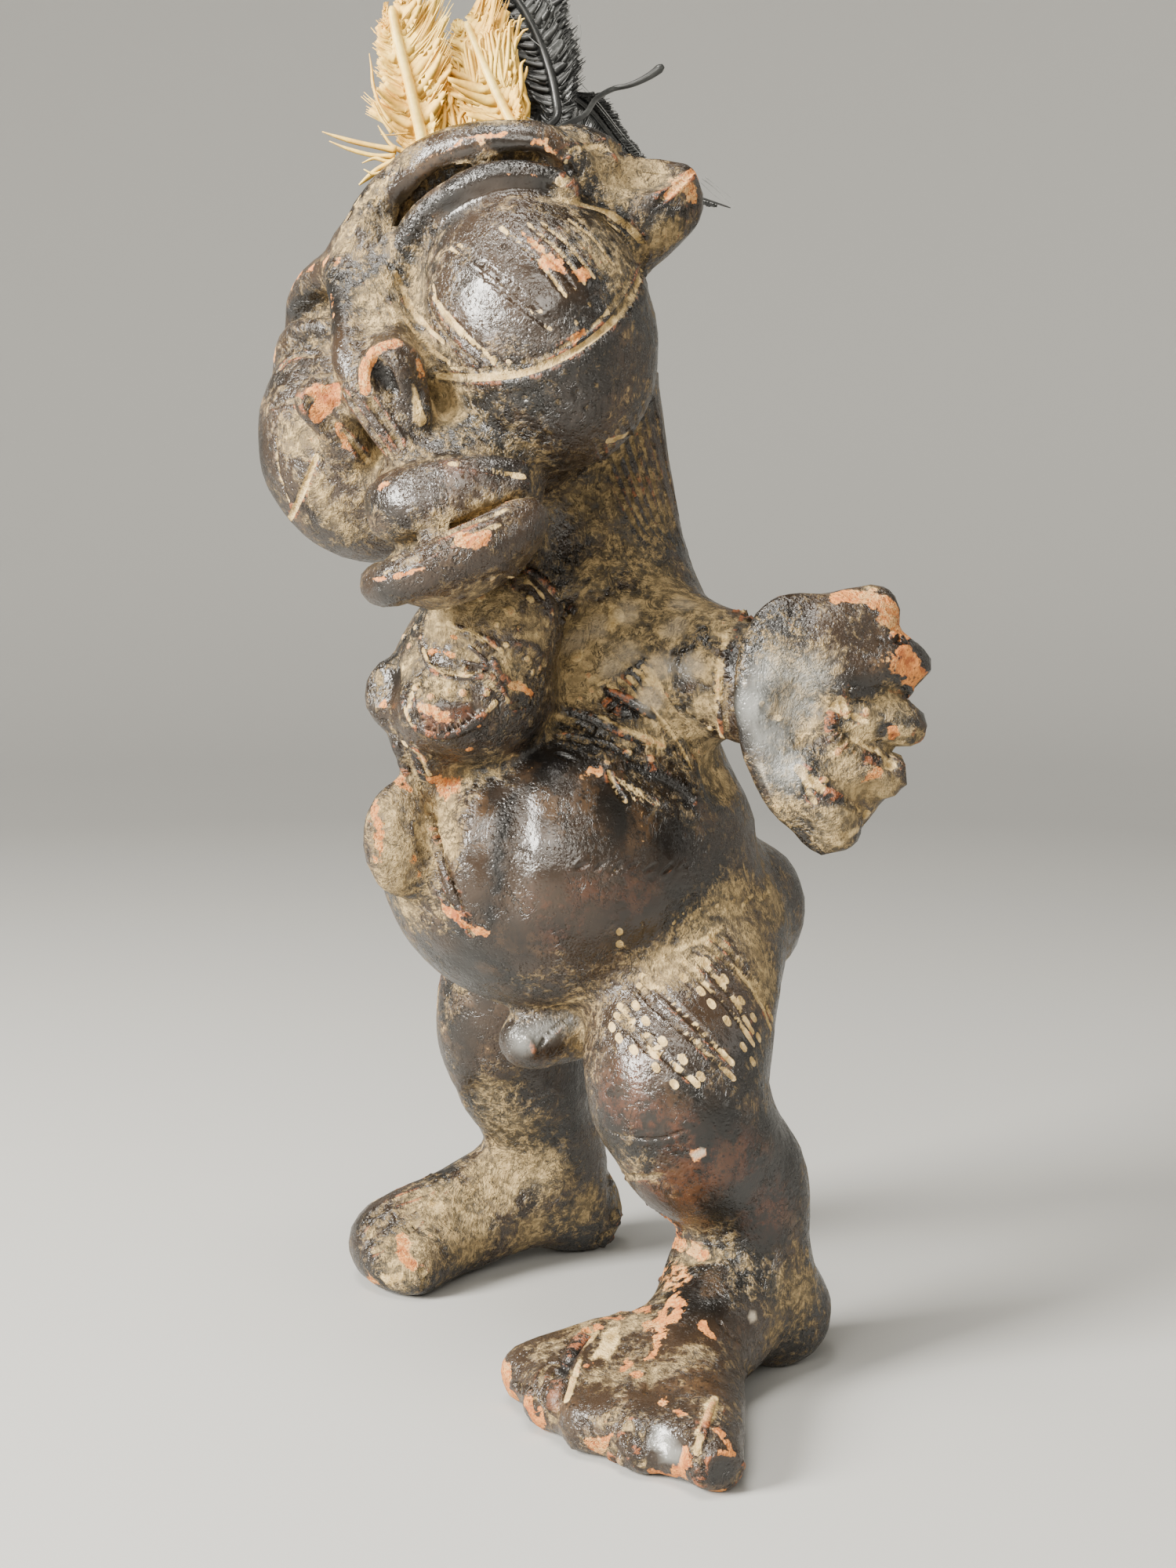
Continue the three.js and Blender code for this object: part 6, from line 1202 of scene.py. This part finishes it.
# ---------------------------------------------------------------- feathers: a shaft, and a fringe of separate barbs
def tube_mesh(q, r, sides=7):
    """closed tube through points q with radii r"""
    q = np.asarray(q, float); n = len(q)
    T = np.gradient(q, axis=0); T /= np.maximum(np.linalg.norm(T, axis=1, keepdims=True), 1e-9)
    up = np.array([0.31, -0.27, 0.91]); V = []; prev = None
    for i in range(n):
        a = np.cross(T[i], up if prev is None else prev); a /= max(np.linalg.norm(a), 1e-9)
        b = np.cross(a, T[i]); prev = b
        for s in range(sides):
            t = 2 * math.pi * s / sides
            V.append(q[i] + r[i] * (math.cos(t) * a + math.sin(t) * b))
    F = []
    for i in range(n - 1):
        for s in range(sides):
            a0, a1 = i * sides + s, i * sides + (s + 1) % sides
            F += [(a0, a1, a1 + sides), (a0, a1 + sides, a0 + sides)]
    c0 = len(V); V.append(q[0]); V.append(q[-1])
    for s in range(sides):
        F.append((c0, (s + 1) % sides, s)); F.append((c0 + 1, (n - 1) * sides + s, (n - 1) * sides + (s + 1) % sides))
    return np.array(V), np.array(F)


def ribbon(q, side, w, th=0.035):
    """a thin closed blade through points q, as wide as w across side"""
    q = np.asarray(q, float); n = len(q)
    T = np.gradient(q, axis=0); T /= np.maximum(np.linalg.norm(T, axis=1, keepdims=True), 1e-9)
    S = side - T * (T * side).sum(1, keepdims=True); S /= np.maximum(np.linalg.norm(S, axis=1, keepdims=True), 1e-9)
    U = np.cross(T, S)
    w = np.asarray(w)[:, None] / 2
    V = np.concatenate([q - S * w, q + U * th, q + S * w, q - U * th], 1).reshape(-1, 3)
    F = []
    for i in range(n - 1):
        for s in range(4):
            a0, a1 = i * 4 + s, i * 4 + (s + 1) % 4
            F += [(a0, a1, a1 + 4), (a0, a1 + 4, a0 + 4)]
    e = (n - 1) * 4
    F += [(0, 2, 1), (0, 3, 2), (e, e + 1, e + 2), (e, e + 2, e + 3)]
    return V, np.array(F)


def join(parts):
    V, F, n = [], [], 0
    for v, f in parts:
        V.append(v); F.append(f + n); n += len(v)
    return np.vstack(V), np.vstack(F)


def feather_parts(rows, r0, r1, rng, gap=0.33, sweep=0.9, droop=0.0, loose=0.15, width=0.34, vane_turn=47.0, under=1.5, waves=0.0):
    L = curve([list(r) for r in rows], 12)
    s = np.concatenate([[0], np.cumsum(np.linalg.norm(np.diff(L[:, :3], axis=0), axis=1))])
    n = int(s[-1] / 1.2) + 2
    K = np.stack([np.interp(np.linspace(0, s[-1], n), s, L[:, i]) for i in range(5)], 1)
    rad = np.linspace(r0, r1, n); rad[-1] *= 0.5
    parts = [tube_mesh(K[:, :3], rad)]
    S0 = np.array([math.cos(math.radians(vane_turn)), math.sin(math.radians(vane_turn)), 0])
    d = s[-1] * 0.0
    for side in (-1, 1):
        rows_at = [(t, False) for t in np.arange(0, s[-1], gap)] + [(t, True) for t in np.arange(0.4, s[-1], 0.8)]
        for t, low in rows_at:
            row = np.array([np.interp(t, s, L[:, i]) for i in range(5)])
            half = row[3] if side < 0 else row[4]
            if half < 0.6: continue
            e = 0.8
            a = np.array([np.interp(min(t + e, s[-1]), s, L[:, i]) for i in range(3)]); b = np.array([np.interp(max(t - e, 0), s, L[:, i]) for i in range(3)])
            T = a - b; T /= max(np.linalg.norm(T), 1e-9)
            S = S0 - T * (S0 @ T); S /= np.linalg.norm(S); U = np.cross(T, S)
            tear = loose * (1.0 if rng.random() < 0.18 else 0.25)
            len_ = half * (1 + rng.normal(0, 0.05) - (rng.random() * tear)) * (0.86 if low else 1.0)
            # neighbouring barbs cling together in tufts that end unevenly
            len_ *= 1 - waves * (0.5 + 0.5 * math.sin(t * 0.9 + side * 1.7 + 1.6 * math.sin(t * 0.37)))
            m = 7; u = np.linspace(0, 1, m)
            rise = sweep * len_ * (u ** 1.25) * (0.75 + rng.normal(0, 0.05 + tear * 0.4))
            out = len_ * u
            lift = (0.10 * len_ * np.sin(u * 2.4) + droop * len_ * u * u) * (1 + rng.normal(0, 0.2)) + rng.normal(0, tear * 0.9) * u * u * len_
            base = row[:3]
            q = base + side * S * (0.6 * r0 + out)[:, None] + T * rise[:, None] + U * lift[:, None]
            if waves: q = q + T * (waves * 1.6 * np.sin(u * 5.0 + t * 1.3) * u)[:, None] + U * (waves * 2.2 * np.sin(u * 4.0 + t * 0.7) * u)[:, None]
            if low: q = q - U * 0.12
            w = (under if low else width) * (1.0 - (0.55 if low else 0.8) * u ** 2.2) * (1 + rng.normal(0, 0.1)) + 0.05
            parts.append(ribbon(q, T[None] * np.ones((m, 1)), w))
    return parts


def hair(points, r, n=10):
    q = curve([list(p) for p in points], 6)
    return tube_mesh(q, np.linspace(r, r * 0.35, len(q)), 5)


def wisp(pix, D, w0, w1, flat_to=(0.3, -0.4, 0.86)):
    """a loose flat barb through positions seen in the view, at depth D"""
    q = curve([list(px(u, v, D)) for u, v in pix], 5)
    return ribbon(q, np.array(flat_to)[None] * np.ones((len(q), 1)), np.linspace(w0, w1, len(q)) * (1 - 0.2 * np.sin(np.linspace(0, 7, len(q)))), 0.06)


def strand(pix, D, r=0.09):
    q = curve([list(px(u, v, D)) for u, v in pix], 8)
    return tube_mesh(q, np.linspace(r, r * 0.4, len(q)), 4)


RNG = np.random.default_rng(11)
FEATHER_OBJECTS = {}
EXTRA = {
    'cream_feather_front': [wisp([(506, 192), (480, 187), (452, 181), (428, 174), (411, 168)], -20, 2.4, 0.3), wisp([(504, 200), (474, 198), (444, 190), (420, 180)], -20.5, 2.0, 0.3),
                            wisp([(498, 156), (484, 134), (476, 108), (474, 88), (471, 68)], -20, 1.5, 0.2, (0.68, 0.73, 0)), wisp([(500, 170), (486, 150), (477, 132), (473, 134)], -20.5, 1.2, 0.2, (0.68, 0.73, 0)),
                            wisp([(505, 206), (486, 214), (470, 226), (458, 236)], -22, 2.6, 0.6), wisp([(512, 204), (494, 206), (478, 202), (462, 208)], -21, 1.8, 0.3),
                            wisp([(500, 214), (478, 222), (464, 216)], -23, 1.4, 0.3), wisp([(520, 196), (500, 186), (488, 170), (482, 160)], -19.5, 2.2, 0.4)],
    'cream_feather_back': [],
    'black_feather_middle': [],
    'black_feather_upper': [],
    'black_feather_side': [],
}
# the matted barbs between the two cream shafts
MAT = np.random.default_rng(5)
for i in range(150):
    u0 = 545 + 124 * MAT.random(); v0 = float(np.interp(u0, [545, 600, 672], [190, 172, 164])) + 4 * MAT.random()
    u1 = min(max(u0 + MAT.normal(-6, 16), 512), 671); v1 = float(np.interp(u1, [512, 556, 574, 600, 640, 668], [26, 44, 64, 44, 30, 16])) + 90 * MAT.random() ** 1.5
    b = MAT.normal(0, 7, 2); tip = MAT.normal(0, 5)
    pts = [(u0, v0), (u0 * 0.72 + u1 * 0.28 + b[0], v0 * 0.72 + v1 * 0.28), (u0 * 0.4 + u1 * 0.6 + b[1], v0 * 0.4 + v1 * 0.6), (u1, v1 + 8), (u1 + tip, v1)]
    EXTRA['cream_feather_front' if u0 < 600 else 'cream_feather_back'].append(wisp(pts, -16.6 + 1.6 * MAT.random(), 1.5 + MAT.random(), 0.35, (0.68, 0.73, 0.0)))
STRANDS = {
    'black_feather_upper': [strand([(738, 19), (741, 45), (734, 72), (722, 96)], 3), strand([(702, 0), (712, 40), (722, 90), (738, 150)], -5, 0.16), strand([(690, 5), (704, 50), (716, 100), (733, 152)], -6, 0.13),
                            strand([(676, 20), (698, 58), (712, 110)], -6, 0.12), strand([(655, 12), (680, 40), (703, 82)], -7, 0.1), strand([(720, 92), (706, 78), (688, 72)], -8, 0.12)],
    'black_feather_middle': [strand([(640, 5), (668, 40), (690, 60)], -14, 0.12), strand([(672, 150), (690, 158), (716, 176)], -17, 0.14), strand([(680, 165), (700, 162), (722, 168)], -17, 0.12)],
    'black_feather_side': [strand([(896, 228), (912, 240), (926, 254), (937, 265)], 24, 0.16), strand([(893, 232), (908, 246), (922, 258)], 24.5, 0.13), strand([(900, 226), (918, 240), (932, 252)], 23.5, 0.12),
                           strand([(735, 100), (764, 132), (792, 168), (818, 198)], 15, 0.15), strand([(742, 112), (770, 144), (798, 180)], 15, 0.12)],
}
for name, r0, r1, col, rows in FEATHERS:
    if name == 'black_quill':
        L = curve([list(r) for r in rows], 10)
        rad = np.interp(np.linspace(0, 1, len(L)), [0, 0.7, 0.86, 0.96, 1], [r0 * 0.8, r0 * 0.75, r0 * 1.05, r1 * 1.0, r1 * 0.5])
        parts = [tube_mesh(L[:, :3], rad, 9)]
    else:
        cream = col == 'cream'
        if name == 'black_feather_side': rows = [[r[0], r[1], r[2], r[3] * (0.3 if i > 6 else 1), r[4] * (0.3 if i > 6 else 1)] for i, r in enumerate(rows)]; r1 = 0.25
        elif cream: rows = [[r[0], r[1], r[2], r[3] * (1.0 if r[3] < r[4] else 1.25), r[4] * 1.2] for r in rows]
        else: rows = [[r[0], r[1], r[2], r[3] * 1.12, r[4] * 1.08] for r in rows]
        parts = feather_parts(rows, r0, r1, RNG, gap=0.26, sweep=1.15 if cream else 0.8, loose=0.45 if cream else 0.3, width=0.46 if cream else 0.44, under=3.0 if cream else 2.4, waves=0.2 if cream else 0.12)
    FEATHER_OBJECTS[name] = (col, parts + EXTRA.get(name, []), STRANDS.get(name, []))


# ---------------------------------------------------------------- materials
class Nodes:
    def __init__(s, name):
        s.m = bpy.data.materials.new(name); s.m.use_nodes = True
        s.t = s.m.node_tree; s.t.nodes.clear()
        s.out = s.t.nodes.new('ShaderNodeOutputMaterial'); s.b = s.t.nodes.new('ShaderNodeBsdfPrincipled')
        s.t.links.new(s.b.outputs['BSDF'], s.out.inputs['Surface'])
    def put(s, socket, v):
        if isinstance(v, bpy.types.NodeSocket): s.t.links.new(v, socket)
        elif isinstance(v, (tuple, list)) and len(v) == 3 and socket.type == 'RGBA': socket.default_value = (*v, 1)
        else: socket.default_value = v
    def coord(s):
        n = s.t.nodes.new('ShaderNodeTexCoord'); return n.outputs['Object']
    def attr(s, name):
        n = s.t.nodes.new('ShaderNodeAttribute'); n.attribute_name = name; return n.outputs['Fac']
    def noise(s, scale, detail=3, rough=0.55, vec=None, dist=0.0):
        n = s.t.nodes.new('ShaderNodeTexNoise'); s.put(n.inputs['Scale'], scale); s.put(n.inputs['Detail'], detail)
        s.put(n.inputs['Roughness'], rough); s.put(n.inputs['Distortion'], dist)
        s.t.links.new(vec or s.coord(), n.inputs['Vector']); return n.outputs['Fac']
    def cells(s, scale, feature='F1', vec=None, out='Distance'):
        n = s.t.nodes.new('ShaderNodeTexVoronoi'); n.feature = feature; s.put(n.inputs['Scale'], scale)
        s.t.links.new(vec or s.coord(), n.inputs['Vector']); return n.outputs[out]
    def math(s, op, a, b=0.5, clamp=False):
        n = s.t.nodes.new('ShaderNodeMath'); n.operation = op; n.use_clamp = clamp
        s.put(n.inputs[0], a); s.put(n.inputs[1], b); return n.outputs[0]
    def add(s, a, b): return s.math('ADD', a, b)
    def mul(s, a, b): return s.math('MULTIPLY', a, b)
    def sub(s, a, b): return s.math('SUBTRACT', a, b)
    def ramp(s, v, lo, hi, a=0.0, b=1.0):
        n = s.t.nodes.new('ShaderNodeMapRange'); n.interpolation_type = 'SMOOTHSTEP'
        for k, x in (('Value', v), ('From Min', lo), ('From Max', hi), ('To Min', a), ('To Max', b)): s.put(n.inputs[k], x)
        return n.outputs['Result']
    def mix(s, f, a, b):
        n = s.t.nodes.new('ShaderNodeMix'); n.data_type = 'RGBA'
        s.put(n.inputs['Factor'], f); s.put(n.inputs[6], a); s.put(n.inputs[7], b); return n.outputs[2]
    def blend(s, f, a, b):
        n = s.t.nodes.new('ShaderNodeMix'); n.data_type = 'FLOAT'
        s.put(n.inputs['Factor'], f); s.put(n.inputs[2], a); s.put(n.inputs[3], b); return n.outputs[0]
    def bump(s, h, strength, dist, normal=None):
        n = s.t.nodes.new('ShaderNodeBump'); s.put(n.inputs['Strength'], strength); s.put(n.inputs['Distance'], dist)
        s.t.links.new(h, n.inputs['Height'])
        if normal is not None: s.t.links.new(normal, n.inputs['Normal'])
        return n.outputs['Normal']
    def squeeze(s, sx, sy, sz, vec=None):
        n = s.t.nodes.new('ShaderNodeMapping'); n.inputs['Scale'].default_value = (sx, sy, sz)
        s.t.links.new(vec or s.coord(), n.inputs['Vector']); return n.outputs['Vector']


def clay_material():
    n = Nodes('burnished_clay')
    earth, chip, shine, red, dark_skin_and_painted_shade, pale_fill_and_painted_light = (n.attr(a) for a in ('earth', 'chip', 'shine', 'red', 'dark_skin_and_painted_shade', 'pale_fill_and_painted_light'))
    hollow, bend, dust, grey_dust_and_painted_sheen = n.attr('hollow'), n.attr('bend'), n.attr('dust'), n.attr('grey_dust_and_painted_sheen')
    broad = n.noise(24, 3, 0.55); mid = n.noise(90, 5, 0.62); fine = n.noise(380, 4, 0.65); speck = n.noise(1250, 3, 0.7)
    broad2 = n.noise(38, 4, 0.6, n.squeeze(1.0, 1.3, 0.7), 0.6)
    # thin wandering lines, as left by rubbing and by fine cracks
    w1 = n.noise(120, 4, 0.6, n.squeeze(1.0, 1.0, 0.45), 1.8); w2 = n.noise(260, 3, 0.6, n.squeeze(0.6, 1.0, 1.0), 1.4)
    fibre1 = n.ramp(n.math('ABSOLUTE', n.sub(w1, 0.5)), 0.0, 0.035, 1, 0)
    fibre2 = n.ramp(n.math('ABSOLUTE', n.sub(w2, 0.5)), 0.0, 0.05, 1, 0)
    flecks = n.ramp(n.add(n.mul(speck, 0.6), n.mul(fine, 0.4)), 0.58, 0.7)
    spots = n.cells(560)
    # burnished skin: black to warm brown, redder in places
    skin = n.mix(n.ramp(broad, 0.4, 0.62), (0.0065, 0.0055, 0.0046), (0.032, 0.0195, 0.0115))
    skin = n.mix(n.ramp(mid, 0.5, 0.72, 0, 0.7), skin, (0.082, 0.046, 0.022))
    skin = n.mix(n.mul(red, n.ramp(n.add(mid, n.mul(n.sub(fine, 0.5), 0.8)), 0.38, 0.62)), skin, (0.090, 0.030, 0.012))
    skin = n.mix(n.mul(n.ramp(spots, 0.0, 0.4, 1, 0), n.ramp(mid, 0.46, 0.6)), skin, (0.005, 0.0045, 0.004))
    # the blackish channel: burnished skin, and painted shade in grooves, holes, under the brows and beside the palm rim
    skin = n.mix(dark_skin_and_painted_shade, skin, (0.008, 0.0075, 0.0075))
    # ochre earth lying in every hollow and rubbed over the matt places
    amount = n.add(n.add(n.mul(hollow, 0.75), n.mul(bend, 0.5)), n.mul(dust, 0.9))
    amount = n.add(amount, n.mul(n.sub(broad2, 0.5), 1.15))
    amount = n.add(amount, n.mul(n.sub(mid, 0.5), 1.1))
    amount = n.add(amount, n.mul(n.sub(fine, 0.5), 1.5))
    amount = n.sub(amount, n.add(n.mul(shine, 0.8), n.mul(dark_skin_and_painted_shade, 0.5)))
    veil = n.ramp(amount, 0.12, 0.72)
    thick = n.ramp(n.add(amount, n.add(n.mul(n.sub(speck, 0.5), 0.9), n.mul(fibre1, 0.16))), 0.50, 1.0)
    olive = n.mix(n.ramp(broad, 0.42, 0.6), (0.120, 0.086, 0.038), (0.190, 0.132, 0.058))
    soil = n.mix(n.ramp(fine, 0.38, 0.66), (0.230, 0.160, 0.068), (0.480, 0.345, 0.160))
    col = n.mix(n.mul(veil, 0.8), skin, olive)
    col = n.mix(n.mul(thick, 0.78), col, soil)
    thread = n.mul(n.math('MAXIMUM', fibre1, fibre2), n.mul(n.ramp(amount, -0.15, 0.6), n.ramp(fine, 0.4, 0.6)))
    thread = n.mul(thread, n.sub(1.0, n.mul(shine, 0.85)))
    col = n.mix(n.mul(thread, 0.75), col, (0.46, 0.315, 0.135))
    col = n.mix(n.mul(flecks, n.mul(n.ramp(amount, 0.0, 0.5), 0.7)), col, (0.56, 0.42, 0.22))
    crack = n.mul(n.math('MAXIMUM', n.ramp(n.math('ABSOLUTE', n.sub(w1, 0.44)), 0.0, 0.02, 1, 0), n.ramp(n.math('ABSOLUTE', n.sub(w2, 0.42)), 0.0, 0.022, 1, 0)), n.ramp(mid, 0.42, 0.56))
    col = n.mix(n.mul(crack, 0.8), col, (0.010, 0.008, 0.006))
    # painted shade, and blackish skin, laid over the earth as well
    col = n.mix(n.mul(n.ramp(dark_skin_and_painted_shade, 0.4, 0.92), 0.88), col, (0.010, 0.0085, 0.0075))
    line = n.ramp(n.add(earth, n.mul(n.sub(fine, 0.5), 0.6)), 0.31, 0.56)
    col = n.mix(line, col, n.mix(n.ramp(fine, 0.36, 0.64), (0.36, 0.235, 0.08), (0.68, 0.49, 0.225)))
    # broken places show the orange clay body
    worn = n.mul(n.ramp(n.mul(bend, -1), 0.30, 0.66), n.ramp(n.add(mid, n.mul(n.sub(fine, 0.5), 0.9)), 0.50, 0.60))
    broke = n.ramp(n.add(chip, n.add(n.mul(n.sub(mid, 0.5), 1.3), n.mul(n.sub(fine, 0.5), 1.5))), 0.40, 0.56)
    orange = n.mix(n.ramp(fine, 0.34, 0.62), (0.30, 0.075, 0.012), (0.64, 0.235, 0.045))
    orange = n.mix(n.ramp(n.add(speck, n.mul(n.sub(mid, 0.5), 1.2)), 0.55, 0.68, 0, 0.75), orange, (0.62, 0.38, 0.15))
    orange = n.mix(n.ramp(n.sub(speck, n.mul(n.sub(fine, 0.5), 0.8)), 0.30, 0.40, 0.8, 0), orange, (0.075, 0.032, 0.014))
    col = n.mix(n.mul(worn, 0.6), col, (0.42, 0.125, 0.032))
    col = n.mix(broke, col, orange)
    # lighter clay: light fill in lines, and painted light on the chest with a painted highlight along the palm rim
    col = n.mix(n.mul(n.ramp(pale_fill_and_painted_light, 0.3, 0.7), 0.8), col, (0.50, 0.43, 0.33))
    # greyish coat: grey dust, with a painted bluish sheen on the palm and a painted highlight on a toe
    col = n.mix(n.mul(grey_dust_and_painted_sheen, 0.75), col, (0.36, 0.365, 0.345))
    n.put(n.b.inputs['Base Color'], col)
    matt = n.math('MAXIMUM', n.math('MAXIMUM', veil, line), n.math('MAXIMUM', broke, n.mul(worn, 0.6)))
    gloss = n.ramp(n.add(mid, n.mul(n.sub(fine, 0.5), 0.9)), 0.35, 0.7, 0.22, 0.44)
    gloss = n.blend(shine, gloss, 0.2)
    rough = n.blend(n.mul(matt, n.sub(1.0, n.mul(grey_dust_and_painted_sheen, 0.8))), gloss, 0.76)
    n.put(n.b.inputs['Roughness'], rough)
    n.b.inputs['IOR'].default_value = 1.5
    n.b.inputs['Specular IOR Level'].default_value = 0.6
    # skin texture: pits, rubbed grain, dusty crust
    pits = n.ramp(n.cells(800), 0.05, 0.42)
    h = n.add(n.mul(fine, 0.7), n.mul(mid, 0.9))
    h = n.add(h, n.mul(pits, 0.22)); h = n.add(h, n.mul(n.mul(speck, n.add(matt, 0.25)), 0.45))
    h = n.add(h, n.mul(thick, 0.3)); h = n.sub(h, n.mul(broke, 0.35)); h = n.sub(h, n.mul(crack, 0.5)); h = n.add(h, n.mul(thread, 0.22))
    nb = n.bump(h, n.blend(shine, 0.75, 0.16), 0.0011)
    n.t.links.new(nb, n.b.inputs['Normal'])
    return n.m


def feather_material(name, c0, c1, rough, sheen=0.0):
    n = Nodes(name)
    v = n.noise(60, 3, 0.6); w = n.noise(700, 3, 0.6)
    col = n.mix(n.ramp(v, 0.35, 0.68), c0, c1)
    col = n.mix(n.ramp(w, 0.3, 0.75, 0, 0.5), col, tuple(x * 0.6 for x in c0))
    n.put(n.b.inputs['Base Color'], col)
    n.b.inputs['Roughness'].default_value = rough
    n.put(n.b.inputs['Normal'], n.bump(w, 0.25, 0.0003))
    return n.m


# ---------------------------------------------------------------- the pieces
BOX = np.array(CAD_BOX) * 1000.0


def place(V, room=1.5):
    """into the shared frame, in metres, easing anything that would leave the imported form's box back into it"""
    P = np.asarray(V, float) + SHIFT
    for i in range(3):
        lo, hi = BOX[0][i] + 0.05, BOX[1][i] - 0.05
        t = hi - room - P[:, i]; P[:, i] = np.where(t < 0, hi - room + room * np.tanh(-t / room), P[:, i])
        if i < 2:
            t = P[:, i] - lo - room; P[:, i] = np.where(t < 0, lo + room - room * np.tanh(-t / room), P[:, i])
    return P / 1000.0


V, F = build_clay()
a, b, c = V[F[:, 0]], V[F[:, 1]], V[F[:, 2]]
if (np.cross(a, b) * c).sum() < 0:
    F = F[:, ::-1]
N = normals(V, F)
CH = channels(V, F, N)
me = to_mesh('clay', place(V), F)
clay = add_object('clay_body', me)
for k, v in CH.items():
    at = me.attributes.new(k, 'FLOAT', 'POINT')
    if len(me.vertices) == len(v): at.data.foreach_set('value', v.astype(f32))
    else: print('vertex count changed', len(me.vertices), len(v))
me.materials.append(clay_material())
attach(clay, 'root'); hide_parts('clay_figure')
print('clay', len(me.polygons), round(time.time() - T0, 1))

CREAM_M = feather_material('cream_barbs', (0.84, 0.46, 0.06), (1.0, 0.71, 0.155), 0.6)
BLACK_M = feather_material('black_barbs', (0.012, 0.0125, 0.0125), (0.055, 0.057, 0.056), 0.34)
QUILL_M = feather_material('cream_shaft', (0.92, 0.60, 0.12), (1.0, 0.78, 0.25), 0.4)
STRAND_M = feather_material('grey_strand', (0.22, 0.225, 0.22), (0.42, 0.43, 0.42), 0.35)
for name, (col, parts, strands) in FEATHER_OBJECTS.items():
    Vf, Ff = join(parts + strands)
    me = to_mesh(name, place(Vf), Ff)
    ob = add_object(name + '_barbs', me)
    me.materials.append(CREAM_M if col == 'cream' else BLACK_M)
    me.materials.append(QUILL_M if col == 'cream' else STRAND_M)
    idx = np.zeros(len(me.polygons), np.int32)
    if len(idx) == len(Ff):
        if col == 'cream': idx[:len(parts[0][1])] = 1
        if strands: idx[-sum(len(f) for _, f in strands):] = 1
    me.polygons.foreach_set('material_index', idx)
    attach(ob, 'root'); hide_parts(name)
    print(name, len(me.polygons), len(Ff))

# ---------------------------------------------------------------- floor, light, camera
fl = bpy.data.meshes.new('floor')
n_, rings = 96, [(0.0, 0.0), (0.9, 0.0), (1.3, 0.0), (1.6, 0.02), (1.85, 0.10), (2.05, 0.28), (2.18, 0.55), (2.22, 1.0), (2.22, 2.4)]
vs = [(0, 0, 0)]; fs = []
for i, (r, z) in enumerate(rings[1:]):
    for k in range(n_):
        t = 2 * math.pi * k / n_; vs.append((r * math.cos(t), r * math.sin(t), z))
for k in range(n_): fs.append((0, 1 + k, 1 + (k + 1) % n_))
for i in range(len(rings) - 2):
    for k in range(n_):
        a0 = 1 + i * n_ + k; a1 = 1 + i * n_ + (k + 1) % n_
        fs.append((a0, a0 + n_, a1 + n_, a1))
fl.from_pydata(vs, [], fs); fl.update()
for p in fl.polygons: p.use_smooth = True
floor = add_object('floor', fl)
fm = Nodes('pale_floor'); fm.b.inputs['Base Color'].default_value = (0.43, 0.428, 0.416, 1); fm.b.inputs['Roughness'].default_value = 0.9
fm.b.inputs['Specular IOR Level'].default_value = 0.1
fl.materials.append(fm.m)
floor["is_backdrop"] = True

w = bpy.data.worlds.new('studio'); bpy.context.scene.world = w; w.use_nodes = True
w.node_tree.nodes['Background'].inputs[0].default_value = (1.0, 0.98, 0.95, 1); w.node_tree.nodes['Background'].inputs[1].default_value = 0.04


def lamp(name, at, look, size, power, colour):
    d = bpy.data.lights.new(name, 'AREA'); d.shape = 'RECTANGLE'; d.size = size[0]; d.size_y = size[1]; d.energy = power; d.color = colour
    o = bpy.data.objects.new(name, d); bpy.context.scene.collection.objects.link(o)
    from mathutils import Vector
    o.location = at; v = Vector(look) - Vector(at); o.rotation_euler = v.to_track_quat('-Z', 'Y').to_euler()
    return o


def out_of_view(right, deep, up):
    p = (right * CR + deep * CV) * 1.0
    return (p[0], p[1], up)


lamp('window', out_of_view(-1.08, -0.66, 0.70), (0, 0, 0.2), (0.5, 0.62), 84, (1.0, 0.965, 0.89))
lamp('room', out_of_view(-0.3, -1.6, 0.95), (0, 0, 0.18), (1.0, 0.6), 21, (1.0, 0.955, 0.86))
lamp('top', out_of_view(-0.2, -0.35, 1.5), (0, 0, 0.15), (0.6, 0.6), 26, (1.0, 0.96, 0.88))
lamp('side', out_of_view(1.2, -0.3, 0.7), (0, 0, 0.2), (0.5, 0.8), 2.5, (1.0, 0.94, 0.86))

cam = bpy.data.cameras.new('camera'); co = bpy.data.objects.new('camera', cam); bpy.context.scene.collection.objects.link(co)
cam.sensor_fit = 'VERTICAL'; cam.sensor_height = 36.0; cam.lens = FOCAL * 36.0 / 2000.0
cam.clip_start = 0.01; cam.clip_end = 50
co.location = tuple((EYE + SHIFT) / 1000.0)
co.rotation_euler = (math.radians(90 - CAM_PITCH), 0, math.radians(CAM_TURN))
bpy.context.scene.camera = co

SIZE = [[float(v) for v in c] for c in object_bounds()]
print('size', CAD_BOX, SIZE, round(time.time() - T0, 1))
